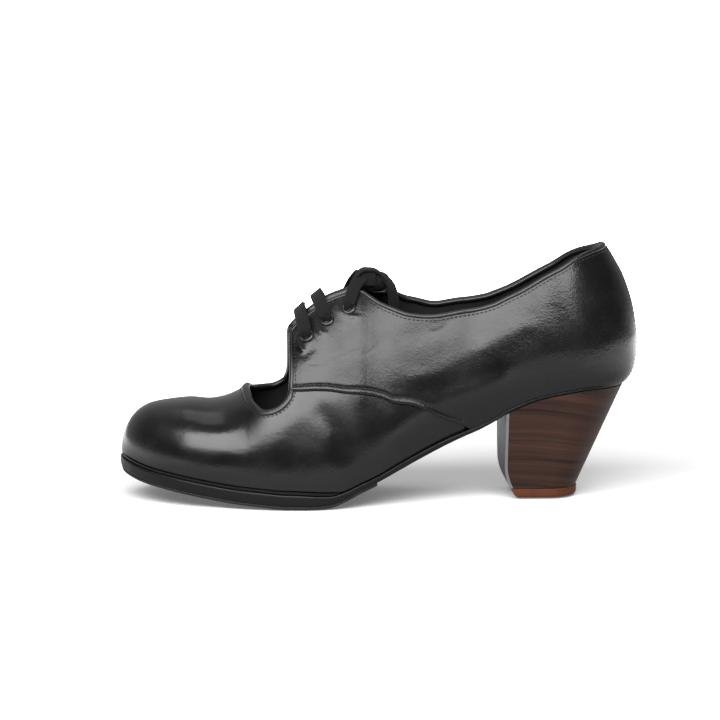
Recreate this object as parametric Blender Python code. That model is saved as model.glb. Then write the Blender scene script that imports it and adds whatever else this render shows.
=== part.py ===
"""Flamenco shoe, left foot: heeled lace-up with an instep cut-out and a stacked wooden heel.

The toe points to +X, the outer (lateral) side to +Y and up to +Z, with the floor at Z = 0.
Lengths are in millimetres until a mesh is made. Tables hold shares of the named sizes.
"""

import math

import bmesh
import bpy
import numpy as np
from mathutils import Vector

MM = 0.001

# Driving sizes of the shoe
SHOE_LENGTH = 245.0
BALL_WIDTH = 84.0
HEEL_HEIGHT = 53.0
TOE_SPRING = 12.2
INSTEP_RISE = 94.0
QUARTER_HEIGHT = 64.4
CUTOUT_RISE = 36.0

# The middle of the shoe's box lies this share of BALL_WIDTH outside the middle of the heel
BOX_MIDDLE = 0.0225

# Soles
SOLE_THICKNESS = 5.4
HALF_SOLE_THICKNESS = 1.3
HALF_SOLE_START = 0.508
WELT_THICKNESS = 1.2
WELT_START = 0.60
WELT_WIDTH = 7.0
WELT_LIP = 0.5
SOLE_LIP = 1.3
INSOLE_THICKNESS = 1.6
PIECE_GAP = 0.3

# Upper
UPPER_WALL = 2.0
OVERLAY_STEP = 0.9
BINDING_WIDTH = 2.8
BINDING_STEP = 1.1
FACING_GAP = 23.0
TUCK_RISE = 22.0
LEAN_START = 0.30
LEAN_TOP = 1.3
LEAN_CURVE = 1.6
HEEL_ROUND_GROWTH = 0.55
TOE_PULL = 0.7

# Heel
HEEL_BREAST = 0.2563
HEEL_BASE_LENGTH = 34.3
HEEL_BASE_WIDTH = 37.0
BREAST_TUCK = 6.0
BREAST_TUCK_RISE = 16.0
LIFT_THICKNESS = 4.6
LIFT_LIP = 0.3
BREAST_COVER_THICKNESS = 1.1

# Eyelets and lace
EYELET_DIAMETER = 6.3
EYELET_BORE = 4.0
EYELET_FLANGE = 0.7
EYELET_SIDES = 10
LACE_WIDTH = 6.3
LACE_THICKNESS = 1.1
SPAN_DROP = 0.45
KNOT_LENGTH = 12.4
KNOT_WIDTH = 15.0
KNOT_HEIGHT = 5.4
KNOT_BACK = 0.006
KNOT_LIFT = -0.8

# Nails
NAIL_DIAMETER = 2.6
NAIL_PITCH = 4.1
NAIL_HEIGHT = 0.5
NAIL_EDGE = 3.2
TOE_NAIL_EDGE = 4.4
TOE_NAIL_START = 0.868
NAIL_SIDES = 5
SHARP_ANGLE = 0.65

# Side view of the sole: shares of SHOE_LENGTH from the heel, then of HEEL_HEIGHT, TOE_SPRING and SOLE_THICKNESS
SOLE_SIDE = (
    # along, heel_lift, toe_lift, thickness
    (0.000, 1.000, 0.000, 0.22),
    (0.097, 0.990, 0.000, 0.22),
    (0.150, 0.952, 0.000, 0.22),
    (0.202, 0.898, 0.000, 0.24),
    (0.232, 0.843, 0.000, 0.26),
    (0.258, 0.784, 0.000, 0.28),
    (0.284, 0.704, 0.000, 0.31),
    (0.310, 0.636, 0.000, 0.36),
    (0.345, 0.564, 0.000, 0.43),
    (0.397, 0.448, 0.000, 0.52),
    (0.464, 0.292, 0.000, 0.55),
    (0.508, 0.190, 0.000, 0.50),
    (0.542, 0.122, 0.000, 0.53),
    (0.571, 0.056, 0.000, 0.60),
    (0.599, 0.010, 0.000, 0.74),
    (0.625, 0.000, 0.000, 0.88),
    (0.680, 0.000, 0.000, 1.00),
    (0.721, 0.000, 0.065, 1.00),
    (0.774, 0.000, 0.160, 0.98),
    (0.830, 0.000, 0.320, 0.96),
    (0.901, 0.000, 0.560, 0.96),
    (0.951, 0.000, 0.740, 0.98),
    (1.000, 0.000, 1.000, 1.00),
)

# Plan of the sole: the middle of its width and its half width, shares of BALL_WIDTH, and
# how far the upper swells past its own foot on either side, in millimetres per BALL_WIDTH
PLAN = (
    # along, middle, half_width, swell_lateral, swell_medial
    (0.000, 0.000, 0.325, 0.024, 0.024),
    (0.150, 0.001, 0.325, 0.034, 0.034),
    (0.245, 0.009, 0.312, 0.046, 0.052),
    (0.306, 0.018, 0.292, 0.066, 0.082),
    (0.367, 0.030, 0.287, 0.072, 0.100),
    (0.429, 0.045, 0.312, 0.058, 0.092),
    (0.490, 0.057, 0.364, 0.038, 0.070),
    (0.551, 0.058, 0.425, 0.024, 0.046),
    (0.612, 0.045, 0.477, 0.018, 0.028),
    (0.653, 0.033, 0.497, 0.017, 0.022),
    (0.702, 0.017, 0.500, 0.016, 0.019),
    (0.755, 0.000, 0.486, 0.015, 0.017),
    (0.816, -0.020, 0.452, 0.014, 0.014),
    (0.857, -0.036, 0.432, 0.012, 0.012),
    (0.906, -0.054, 0.416, 0.008, 0.008),
    (0.947, -0.067, 0.408, 0.004, 0.004),
    (1.000, -0.078, 0.400, 0.000, 0.000),
)
TOE_ROUND = 0.155
HEEL_ROUND = 0.114

# Sections of the upper: rise of its ridge over its foot, where the ridge lies across, squareness, and how far
# each side leans in at QUARTER_HEIGHT, share of BALL_WIDTH
SECTIONS = (
    # along, ridge_rise, ridge_middle, squareness, lean
    (0.000, 1.060, 0.000, 2.30, 0.030),
    (0.120, 1.069, 0.000, 2.30, 0.060),
    (0.190, 1.075, 0.000, 2.30, 0.108),
    (0.257, 1.095, 0.000, 2.26, 0.126),
    (0.328, 1.095, 0.000, 2.20, 0.102),
    (0.398, 1.050, -0.005, 2.12, 0.052),
    (0.449, 0.990, -0.012, 2.04, 0.020),
    (0.500, 0.962, -0.016, 1.95, 0.004),
    (0.522, 0.972, -0.018, 1.92, 0.000),
    (0.546, 0.996, -0.018, 1.89, 0.000),
    (0.575, 0.990, -0.018, 1.86, 0.000),
    (0.596, 0.962, -0.018, 1.85, 0.000),
    (0.627, 0.897, -0.018, 1.85, 0.000),
    (0.657, 0.822, -0.017, 1.86, 0.000),
    (0.673, 0.770, -0.015, 1.89, 0.000),
    (0.700, 0.672, -0.012, 1.98, 0.000),
    (0.727, 0.558, -0.010, 2.12, 0.000),
    (0.745, 0.488, -0.011, 2.22, 0.000),
    (0.759, 0.440, -0.012, 2.30, 0.000),
    (0.787, 0.392, -0.016, 2.38, 0.000),
    (0.803, 0.374, -0.020, 2.40, 0.000),
    (0.829, 0.354, -0.028, 2.42, 0.000),
    (0.860, 0.347, -0.040, 2.42, 0.000),
    (0.888, 0.328, -0.050, 2.42, 0.000),
    (0.934, 0.296, -0.064, 2.42, 0.000),
    (0.976, 0.289, -0.074, 2.40, 0.000),
    (1.000, 0.285, -0.078, 2.40, 0.000),
)
TOE_BOX_ROUND = 0.085

# Back of the heel: rise over the foot of the upper, share of QUARTER_HEIGHT, and how far forward it lies
BACK_CURVE = (
    # rise, forward
    (0.000, 6.3),
    (0.020, 5.0),
    (0.045, 3.8),
    (0.110, 2.1),
    (0.215, 1.1),
    (0.300, 0.9),
    (0.410, 1.5),
    (0.547, 3.1),
    (0.685, 5.7),
    (0.783, 8.2),
    (0.873, 11.4),
    (0.970, 15.2),
    (1.000, 17.4),
)
BACK_REACH = 0.49

# Edge of the upper, from the throat's middle round the cut-out, up the facing and along the collar.
# foot and along are shares of SHOE_LENGTH. An edge point is placed either by its distance from the
# ridge, as a share of FACING_GAP, or by its rise over the foot, as a share of the size that it names.
EDGE_LATERAL = (
    # foot, along, across, cutout_rise, collar_rise, columns
    (1.000, 0.7555, 0.00, None, None, 3),
    (0.962, 0.7545, 0.30, None, None, 3),
    (0.873, 0.7520, 0.66, None, None, 3),
    (0.800, 0.7460, 1.04, None, None, 2),
    (0.767, 0.7350, 1.27, None, None, 2),
    (0.737, 0.7215, None, 0.980, None, 2),
    (0.706, 0.6970, None, 1.045, None, 2),
    (0.676, 0.6800, None, 1.160, None, 2),
    (0.646, 0.6715, None, 1.380, None, 3),
    (0.606, 0.6700, 0.60, None, None, 2),
    (0.586, 0.6640, 0.51, None, None, 3),
    (0.545, 0.5970, 0.50, None, None, 2),
    (0.503, 0.5330, 0.52, None, None, 1),
    (0.488, 0.5180, 0.59, None, None, 1),
    (0.471, 0.5010, None, None, 1.207, 1),
    (0.428, 0.4500, None, None, 1.033, 2),
    (0.368, 0.3910, None, None, 0.915, 2),
    (0.298, 0.3240, None, None, 0.849, 3),
    (0.224, 0.2500, None, None, 0.800, 4),
    (0.122, 0.1680, None, None, 0.870, 3),
    (0.033, 0.1060, None, None, 0.960, 2),
    (0.000, 0.0727, None, None, 1.000, 0),
)
EDGE_MEDIAL = (
    # foot, along, across, cutout_rise, collar_rise, columns
    (1.000, 0.7555, 0.00, None, None, 3),
    (0.962, 0.7545, 0.30, None, None, 3),
    (0.873, 0.7520, 0.66, None, None, 3),
    (0.800, 0.7455, 1.00, None, None, 2),
    (0.767, 0.7360, 1.16, None, None, 2),
    (0.739, 0.7220, None, 1.094, None, 2),
    (0.710, 0.7000, None, 1.120, None, 2),
    (0.680, 0.6830, None, 1.190, None, 2),
    (0.650, 0.6745, None, 1.390, None, 3),
    (0.610, 0.6735, 0.60, None, None, 2),
    (0.590, 0.6680, 0.51, None, None, 3),
    (0.547, 0.5970, 0.50, None, None, 2),
    (0.500, 0.5250, 0.52, None, None, 1),
    (0.484, 0.5080, 0.59, None, None, 1),
    (0.466, 0.4900, None, None, 1.235, 1),
    (0.423, 0.4400, None, None, 1.075, 2),
    (0.363, 0.3810, None, None, 0.928, 2),
    (0.294, 0.3180, None, None, 0.865, 3),
    (0.221, 0.2450, None, None, 0.795, 4),
    (0.121, 0.1660, None, None, 0.855, 3),
    (0.033, 0.1050, None, None, 0.950, 2),
    (0.000, 0.0727, None, None, 1.000, 0),
)

# Lower edge of the quarters where they lap over the vamp: rise over the foot, share of CUTOUT_RISE
OVERLAY_EDGE = (
    # along, rise
    (0.326, -0.040),
    (0.343, 0.080),
    (0.374, 0.250),
    (0.418, 0.520),
    (0.460, 0.756),
    (0.500, 0.964),
    (0.541, 1.142),
    (0.602, 1.283),
    (0.663, 1.247),
    (0.760, 1.240),
)

EYELETS = (
    # along, across (share of FACING_GAP), crossing (where its lace crosses the ridge)
    (0.637, 0.900, 0.648),
    (0.599, 0.820, 0.616),
    (0.558, 0.745, 0.530),
)

# Middle line of the lace's outer end, from the knot down into the shoe. The inner end mirrors it.
LACE_END_ROUTE = (
    # x, y, z in millimetres, from the middle of the shoe's length and of the heel's width
    (-0.9, 3.8, 102.8),
    (-2.8, 3.9, 102.5),
    (-4.5, 4.0, 101.4),
    (-5.7, 4.2, 99.4),
    (-6.4, 4.4, 96.8),
    (-6.8, 4.6, 93.8),
    (-6.9, 4.9, 90.4),
    (-6.7, 5.3, 87.0),
    (-6.3, 5.8, 83.6),
    (-5.7, 6.5, 80.2),
    (-4.9, 7.4, 76.8),
    (-3.9, 8.4, 73.5),
    (-2.8, 9.5, 70.4),
    (-1.6, 10.6, 67.4),
    (-0.3, 11.7, 64.5),
)


def smooth(table, column, at):
    """Monotone cubic through one column of a table, at the given places along it."""
    x = np.array([row[0] for row in table], float)
    y = np.array([row[column] for row in table], float)
    step, slope = np.diff(x), np.diff(y) / np.diff(x)
    same = slope[:-1] * slope[1:] > 0
    first, last = 2 * step[1:] + step[:-1], step[1:] + 2 * step[:-1]
    with np.errstate(divide="ignore", invalid="ignore"):
        inner = np.where(same, (first + last) / (first / slope[:-1] + last / slope[1:]), 0.0)
    tangent = np.concatenate([slope[:1], inner, slope[-1:]])
    at = np.asarray(at, float)
    i = np.clip(np.searchsorted(x, at) - 1, 0, len(step) - 1)
    t = np.clip((at - x[i]) / step[i], 0.0, 1.0)
    h = step[i]
    return (
        (1 + 2 * t) * (1 - t) ** 2 * y[i]
        + t * (1 - t) ** 2 * h * tangent[i]
        + t * t * (3 - 2 * t) * y[i + 1]
        + t * t * (t - 1) * h * tangent[i + 1]
    )


def ease(low, high, at):
    t = np.clip((at - low) / (high - low), 0.0, 1.0)
    return t * t * (3 - 2 * t)


def sole_under(along):
    """Height of the outsole's underside above the floor. The half sole lies under it."""
    flat = HALF_SOLE_THICKNESS + PIECE_GAP
    lift = (HEEL_HEIGHT - flat) * smooth(SOLE_SIDE, 1, along)
    return flat + lift + TOE_SPRING * smooth(SOLE_SIDE, 2, along)


def sole_top(along):
    return sole_under(along) + SOLE_THICKNESS * smooth(SOLE_SIDE, 3, along)


def welt_share(along):
    return ease(WELT_START - 0.03, WELT_START, along)


def foot_height(along):
    """Height of the upper's lower edge, just over the sole and its welt."""
    return sole_top(along) + PIECE_GAP + (WELT_THICKNESS + PIECE_GAP) * welt_share(along)


def closing(along, heel_round=HEEL_ROUND):
    """Rounds the plan off at the toe and at the heel."""
    toe = np.clip((along - 1 + TOE_ROUND) / TOE_ROUND, 0, 1)
    heel = np.clip((heel_round - along) / heel_round, 0, 1)
    return np.sqrt(np.clip(1 - toe**2, 0, 1)) * np.sqrt(np.clip(1 - heel**2, 0, 1))


def back_fade(along):
    return np.clip(1 - along / BACK_REACH, 0, 1) ** 2


def seat_shift(along):
    """How far forward the sole's outline lies of the same place on the heel's widest line."""
    return (BACK_CURVE[0][1] + 0.2) * back_fade(along)


def real_along(along):
    return along + seat_shift(along) / SHOE_LENGTH


def outline(along, side, inset=0.0):
    """A point of the sole's edge in plan, moved inwards by inset."""
    along = np.asarray(along, float)
    nudge = 1e-4
    ends = [np.clip(along - nudge, 0, 1), np.clip(along + nudge, 0, 1)]
    x, y = plan_point(along, side)
    (x0, y0), (x1, y1) = (plan_point(end, side) for end in ends)
    dx, dy = x1 - x0, (y1 - y0) * side
    length = np.hypot(dx, dy)
    return x + inset * dy / length, y - side * inset * dx / length


def plan_point(along, side):
    half = BALL_WIDTH * smooth(PLAN, 2, along) * closing(along)
    middle = BALL_WIDTH * smooth(PLAN, 1, along)
    return SHOE_LENGTH * along + seat_shift(along), middle + side * half


def foot_half_width(along):
    return BALL_WIDTH * smooth(PLAN, 2, along) * closing(along)


def ridge_rise(along):
    toe = np.clip((along - 1 + TOE_BOX_ROUND) / TOE_BOX_ROUND, 0, 1)
    return INSTEP_RISE * smooth(SECTIONS, 1, along) * np.sqrt(np.clip(1 - toe**2, 0, 1))


def last(along, turn, side):
    """The outer surface of the upper: turn goes from 0 at its foot to a quarter circle at the ridge."""
    power = 2 / smooth(SECTIONS, 3, along)
    out, up = np.cos(turn).clip(0) ** power, np.sin(turn).clip(0) ** power
    rise = ridge_rise(along) * up
    height_share = rise / QUARTER_HEIGHT
    round_heel = HEEL_ROUND * (1 + HEEL_ROUND_GROWTH * np.clip(height_share, 0, 1.2))
    full = BALL_WIDTH * smooth(PLAN, 2, along)
    swell = BALL_WIDTH * smooth(PLAN, 3 if side > 0 else 4, along)
    tuck = swell * np.clip(1 - rise / TUCK_RISE, 0, 1) ** 2
    above = np.clip((height_share - LEAN_START) / (1 - LEAN_START), 0, LEAN_TOP)
    lean = BALL_WIDTH * smooth(SECTIONS, 4, along) * above**LEAN_CURVE
    half = ((full + swell) * out - lean) * closing(along, round_heel) - tuck * closing(along, HEEL_ROUND)
    half = half - SOLE_LIP * closing(along) * np.clip(1 - 0.3 * height_share, 0.5, 1)
    middle = smooth(PLAN, 1, along) + (smooth(SECTIONS, 2, along) - smooth(PLAN, 1, along)) * up
    forward = smooth(BACK_CURVE, 1, np.clip(height_share, 0, 1)) * back_fade(along)
    x = SHOE_LENGTH * along + forward - TOE_PULL * ease(0.9, 1.0, along)
    z = foot_height(real_along(along)) + rise
    return np.stack([x, BALL_WIDTH * middle + side * np.maximum(half, 0), z], -1)


def unroll(along):
    """A coordinate along the sole's edge that runs evenly round the heel."""
    along = np.asarray(along, float)
    angle = np.arccos(np.clip(1 - along / HEEL_ROUND, -1, 1))
    return np.where(along < HEEL_ROUND, HEEL_ROUND * angle, HEEL_ROUND * (math.pi / 2 - 1) + along)


def roll(place):
    angle = np.clip(place / HEEL_ROUND, 0, math.pi / 2)
    rolled = HEEL_ROUND * (1 - np.cos(angle))
    return np.where(place < HEEL_ROUND * math.pi / 2, rolled, place - HEEL_ROUND * (math.pi / 2 - 1))


def turn_across(along, distance):
    power = smooth(SECTIONS, 3, along) / 2
    return math.acos(min(1.0, (distance / foot_half_width(along)) ** power))


def base_along(x_share, rise):
    """The place on the last whose point at this rise lies at x_share of the shoe's length."""
    along = x_share
    forward = smooth(BACK_CURVE, 1, min(rise / QUARTER_HEIGHT, 1.0)) / SHOE_LENGTH
    for _ in range(30):
        along = max(0.0, x_share - forward * back_fade(along))
    return along


def turn_at_rise(along, rise):
    power = smooth(SECTIONS, 3, along) / 2
    return math.asin(min(1.0, (rise / ridge_rise(along)) ** power))


def edge_row(row):
    """(place of the foot, place of the edge, turn of the edge) for one row of an edge table."""
    foot, along, across, cutout, collar, _ = row
    if across is not None:
        return foot, along, turn_across(along, FACING_GAP * across)
    rise = CUTOUT_RISE * cutout if cutout is not None else QUARTER_HEIGHT * collar
    base = base_along(along, rise)
    return foot, base, turn_at_rise(base, rise)


def columns_of(table):
    """Foot, edge and turn of every column of the grid on one side, from the toe to the heel."""
    counts = [row[5] for row in table[:-1]]
    knots = np.concatenate([[0], np.cumsum(counts)])
    rows = [edge_row(row) for row in table]
    at = np.arange(knots[-1] + 1)
    feet = smooth([(k, float(unroll_toe(r[0]))) for k, r in zip(knots, rows)], 1, at)
    edges = smooth([(k, float(unroll(r[1]))) for k, r in zip(knots, rows)], 1, at)
    turns = smooth([(k, r[2]) for k, r in zip(knots, rows)], 1, at)
    return roll_toe(feet), roll(edges), turns


def unroll_toe(along):
    """As unroll, and even round the toe as well."""
    along = np.asarray(along, float)
    start = 1 - TOE_ROUND
    angle = np.arcsin(np.clip((along - start) / TOE_ROUND, 0, 1))
    return np.where(along > start, unroll(start) + TOE_ROUND * angle, unroll(along))


def roll_toe(place):
    start = 1 - TOE_ROUND
    edge = float(unroll(start))
    angle = np.clip((place - edge) / TOE_ROUND, 0, math.pi / 2)
    return np.where(place > edge, start + TOE_ROUND * np.sin(angle), roll(place))


def meridian(foot, edge, turn, side, samples=72):
    """Points of the last from its foot up to its edge: straight in plan at the toe, evenly swept elsewhere."""
    t = np.linspace(0, 1, samples)
    swept = roll(unroll(foot) + (unroll(edge) - unroll(foot)) * t)
    sweep_turn = turn * t
    power = 2 / smooth(SECTIONS, 3, edge)
    steps = (1 - np.cos(turn * t) ** power) / max(1 - math.cos(turn) ** power, 1e-6)
    plan_along = foot + (edge - foot) * steps
    foot_out = float(foot_half_width(foot))
    edge_out = float(foot_half_width(edge)) * math.cos(turn) ** power
    out = foot_out + (edge_out - foot_out) * steps
    width = np.maximum(foot_half_width(plan_along), 1e-6)
    plan_turn = np.arccos(np.clip(out / width, 0, 1) ** (smooth(SECTIONS, 3, plan_along) / 2))
    plan_turn[0] = 0.0
    blend = float(ease(0.69, 0.79, foot))
    return last(swept + (plan_along - swept) * blend, sweep_turn + (plan_turn - sweep_turn) * blend, side)


def along_path(path, distances):
    """Points of a path at the given distances from its start."""
    gone = np.concatenate([[0], np.cumsum(np.linalg.norm(np.diff(path, axis=0), axis=1))])
    return np.stack([np.interp(distances, gone, path[:, axis]) for axis in range(3)], -1)


def path_length(path):
    return float(np.linalg.norm(np.diff(path, axis=0), axis=1).sum())


def all_meridians():
    """The upper's meridians in a ring: lateral from toe to heel, then medial back to the toe."""
    ring = []
    for table, side in ((EDGE_LATERAL, 1), (EDGE_MEDIAL, -1)):
        columns = zip(*columns_of(table))
        ring.append([meridian(foot, edge, turn, side) for foot, edge, turn in columns])
    lateral, medial = ring
    return lateral + medial[1:-1][::-1]


def normals_of(grid):
    """Outward normals of a grid of points that closes on itself round the shoe."""
    around = np.roll(grid, -1, axis=0) - np.roll(grid, 1, axis=0)
    up = np.gradient(grid, axis=1)
    cross = np.cross(around, up)
    cross /= np.linalg.norm(cross, axis=-1, keepdims=True)
    middle = grid.mean(axis=(0, 1))
    if ((grid - middle) * cross).sum() < 0:
        cross = -cross
    return cross


def make(name, points, faces, helper=False):
    """One mesh object from points in millimetres, in a frame centred on the shoe's box."""
    mesh = bpy.data.meshes.new(name)
    middle = Vector((SHOE_LENGTH / 2, BALL_WIDTH * BOX_MIDDLE, 0.0))
    mesh.from_pydata([(Vector(p) - middle) * MM for p in points], [], faces)
    mesh.update()
    body = bmesh.new()
    body.from_mesh(mesh)
    bmesh.ops.recalc_face_normals(body, faces=body.faces)
    bmesh.ops.triangulate(body, faces=body.faces)
    if body.calc_volume(signed=True) < 0:
        bmesh.ops.reverse_faces(body, faces=body.faces)
    body.to_mesh(mesh)
    body.free()
    made = bpy.data.objects.new(name, mesh)
    bpy.context.scene.collection.objects.link(made)
    if helper:
        made.hide_render = True
        made.display_type = "WIRE"
    return made


def ring_faces(rings, size, closed_rows=False):
    """Quads between neighbouring rings of points, each ring closed on itself."""
    faces = []
    last_row = rings if closed_rows else rings - 1
    for row in range(last_row):
        for i in range(size):
            j, under = (i + 1) % size, (row + 1) % rings
            faces.append((row * size + i, row * size + j, under * size + j, under * size + i))
    return faces


def boolean(target, cutter, operation):
    step = target.modifiers.new(cutter.name, "BOOLEAN")
    step.operation = operation
    step.solver = "EXACT"
    step.object = cutter


# Looks of the pieces, each with its colour, roughness and metallic value
LOOKS = {
    "upper": ((0.022, 0.022, 0.024), 0.32, 0.0),
    "welt": ((0.016, 0.016, 0.016), 0.42, 0.0),
    "outsole": ((0.016, 0.016, 0.016), 0.38, 0.0),
    "half_sole": ((0.022, 0.022, 0.022), 0.60, 0.0),
    "insole": ((0.035, 0.032, 0.030), 0.70, 0.0),
    "heel_block": ((0.085, 0.040, 0.026), 0.42, 0.0),
    "heel_breast_cover": ((0.014, 0.014, 0.014), 0.16, 0.0),
    "top_lift": ((0.30, 0.135, 0.065), 0.55, 0.0),
    "eyelet": ((0.014, 0.014, 0.015), 0.18, 0.6),
    "lace": ((0.020, 0.020, 0.021), 0.85, 0.0),
}

STATION_COUNT = 50
BODY_ROWS = (0.0, 0.07, 0.17, 0.30, 0.44, 0.58, 0.72, 0.86, 1.0)
LINING_ROWS = (1.0, 0.76, 0.52, 0.26, 0.0)
BINDING_SHAPE = (0.85, 1.0, 0.75, -0.1)
OVERLAY_ROWS = 6
OVERLAY_SAMPLES = 200


def upper_grid():
    """Distances are measured down from the edge, so the binding keeps its width all the way round."""
    ring = all_meridians()
    body, binding = [], []
    for path in ring:
        length = path_length(path)
        body.append(along_path(path, [(length - BINDING_WIDTH) * share for share in BODY_ROWS]))
        edge = [length - BINDING_WIDTH + 0.3, length - BINDING_WIDTH / 2, length - 0.4, length]
        binding.append(along_path(path, edge))
    grid = np.concatenate([np.array(body), np.array(binding)], axis=1)
    return ring, grid


def make_upper(ring, grid):
    """The hollow upper: its outside with the binding's step, its lip and its lining."""
    normal = normals_of(grid)
    steps = np.array([0.0] * len(BODY_ROWS) + list(BINDING_SHAPE)) * BINDING_STEP
    outer = grid + normal * steps[None, :, None]
    lining = []
    for path in ring:
        length = path_length(path)
        lining.append(along_path(path, [(length - 0.4) * share for share in LINING_ROWS]))
    inside = np.array(lining)
    inner_normal = normals_of(inside)
    inner = inside - inner_normal * UPPER_WALL
    lip = grid[:, -1] - normal[:, -1] * (UPPER_WALL * 0.6)
    rows = [outer[:, k] for k in range(outer.shape[1])] + [lip] + [inner[:, k] for k in range(inner.shape[1])]
    rows[-1][:, 2] = rows[0][:, 2]
    points = np.concatenate(rows)
    return make("upper", points, ring_faces(len(rows), len(ring), closed_rows=True))


def make_overlay(ring):
    """The quarters' own layer over the vamp, on the upper's meridians from its lower edge to the binding."""
    count = OVERLAY_ROWS
    rows = np.linspace(0, 1, count)
    lines = []
    for path in ring:
        length = path_length(path)
        fine = along_path(path, np.linspace(0, length, OVERLAY_SAMPLES))
        along = fine[:, 0] / SHOE_LENGTH
        rise = fine[:, 2] - foot_height(along)
        over = rise - CUTOUT_RISE * smooth(OVERLAY_EDGE, 1, along)
        start = length
        above = np.nonzero(over > 0)[0]
        if len(above):
            start = max(0.35, length * above[0] / (OVERLAY_SAMPLES - 1))
        lines.append((start, length - BINDING_WIDTH * 0.62, path))
    chosen = [(start, end, path) for start, end, path in lines if end - start > 1.0]
    strip = np.array([along_path(path, start + (end - start) * rows) for start, end, path in chosen])
    around = np.gradient(strip, axis=0)
    up = np.gradient(strip, axis=1)
    normal = np.cross(around, up)
    normal /= np.linalg.norm(normal, axis=-1, keepdims=True)
    if normal[len(chosen) // 4, count // 2, 1] < 0:
        normal = -normal
    outer = strip + normal * OVERLAY_STEP
    inner = strip - normal * (UPPER_WALL * 0.45)
    size = len(chosen)
    points = np.concatenate([outer.reshape(-1, 3), inner.reshape(-1, 3)])
    shift = size * count
    faces = []
    for i in range(size - 1):
        for k in range(count - 1):
            a, b, c, d = i * count + k, (i + 1) * count + k, (i + 1) * count + k + 1, i * count + k + 1
            faces += [(a, b, c, d), (d + shift, c + shift, b + shift, a + shift)]
        for k in (0, count - 1):
            a, b = i * count + k, (i + 1) * count + k
            faces.append((a, b, b + shift, a + shift))
    for i in (0, size - 1):
        for k in range(count - 1):
            a, b = i * count + k, i * count + k + 1
            faces.append((a, b, b + shift, a + shift))
    return make("quarter_overlay", points, faces, helper=True)


def stations(start, end):
    """Places along the sole that every layer shares, closer together at a rounded toe or heel."""
    low, high = float(unroll_toe(0.0)), float(unroll_toe(1.0))
    places = roll_toe(np.linspace(low, high, STATION_COUNT))
    inner = [place for place in places if start + 0.004 < place < end - 0.004]
    return np.array([start] + inner + [end])


def is_tip(place):
    return float(closing(place)) < 0.02


def plate(name, start, end, levels):
    """A plate with the sole's outline. levels lists (inset, height function) from its top down."""
    places = stations(start, end)
    points, rings = [], []
    for place in places:
        tip = is_tip(place)
        loop = []
        for inset, height in levels:
            x, y = outline(place, 1, inset)
            loop.append((x, y, height(x / SHOE_LENGTH)))
        for inset, height in reversed(levels):
            x, y = outline(place, -1, inset)
            loop.append((x, y, height(x / SHOE_LENGTH)))
        if tip:
            half = len(levels)
            merged = [tuple((np.array(loop[k]) + np.array(loop[-1 - k])) / 2) for k in range(half)]
            loop = merged + merged[::-1]
        rings.append([len(points) + k for k in range(len(loop))])
        points += loop
    faces = []
    size = len(rings[0])
    for a, b in zip(rings, rings[1:]):
        for k in range(size):
            faces.append((a[k], a[(k + 1) % size], b[(k + 1) % size], b[k]))
    for place, ring in ((places[0], rings[0]), (places[-1], rings[-1])):
        if not is_tip(place):
            faces.append(tuple(ring))
    points, faces = weld(points, faces)
    return make(name, points, faces)


def weld(points, faces):
    """Points that coincide made one, and faces that collapse dropped."""
    seen, index, kept = {}, [], []
    for point in points:
        key = tuple(round(float(c), 4) for c in point)
        if key not in seen:
            seen[key] = len(kept)
            kept.append(point)
        index.append(seen[key])
    clean = []
    for face in faces:
        corners = []
        for corner in (index[c] for c in face):
            if corner not in corners:
                corners.append(corner)
        if len(corners) > 2:
            clean.append(tuple(corners))
    return kept, clean


def make_soles():
    def edge_step(share):
        return lambda at: sole_under(at) + (sole_top(at) - sole_under(at)) * share

    plate(
        "outsole",
        0.0,
        1.0,
        [(0.35, sole_top), (0.0, edge_step(0.93)), (0.0, edge_step(0.35)), (0.5, sole_under)],
    )

    def half_sole_level(share):
        return lambda at: sole_under(at) - PIECE_GAP - HALF_SOLE_THICKNESS * (1 - share)

    half_sole = plate(
        "half_sole",
        HALF_SOLE_START,
        1.0,
        [(0.7, half_sole_level(1.0)), (0.8, half_sole_level(0.45)), (1.9, half_sole_level(0.0))],
    )

    def insole_high(at):
        return foot_height(at) + INSOLE_THICKNESS

    inset = SOLE_LIP + UPPER_WALL + 3 * PIECE_GAP
    plate("insole", 0.012, 0.988, [(inset + 0.3, insole_high), (inset, foot_height)])
    return half_sole


def make_welt():
    """A strip on the sole's edge, round the toe from waist to waist."""
    places = stations(WELT_START + 0.012, 1.0)
    corners = [(SOLE_LIP - WELT_LIP, 1.0), (SOLE_LIP - WELT_LIP, 0.0), (WELT_WIDTH, 0.0), (WELT_WIDTH, 1.0)]
    loops = []
    for side, order in ((1, places), (-1, places[-2::-1])):
        for place in order:
            loop = []
            for inset, share in corners:
                x, y = outline(place, side, inset)
                at = x / SHOE_LENGTH
                loop.append((x, y, sole_top(at) + PIECE_GAP + WELT_THICKNESS * share * welt_share(at)))
            loops.append(loop)
    points = [p for loop in loops for p in loop]
    faces = []
    for i in range(len(loops) - 1):
        for k in range(4):
            faces.append((4 * i + k, 4 * i + (k + 1) % 4, 4 * i + 4 + (k + 1) % 4, 4 * i + 4 + k))
    faces += [(0, 1, 2, 3), tuple(4 * (len(loops) - 1) + k for k in range(4))]
    make("welt", points, faces)


def heel_point(along, side, level, lip=0.0):
    """A point of the heel's side: level runs from 0 at its base to 1 under the seat."""
    x, y = outline(along, side, PIECE_GAP)
    breast = HEEL_BREAST * SHOE_LENGTH
    top_length = breast - seat_shift(0.0)
    top_width = BALL_WIDTH * smooth(PLAN, 2, 0.15) * 2
    spread = level**1.25
    base_x = breast - (breast - x) * (HEEL_BASE_LENGTH + lip) / top_length
    base_y = y * (HEEL_BASE_WIDTH + 2 * lip) / top_width
    return base_x + (x - base_x) * level, base_y + (y - base_y) * spread


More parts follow.
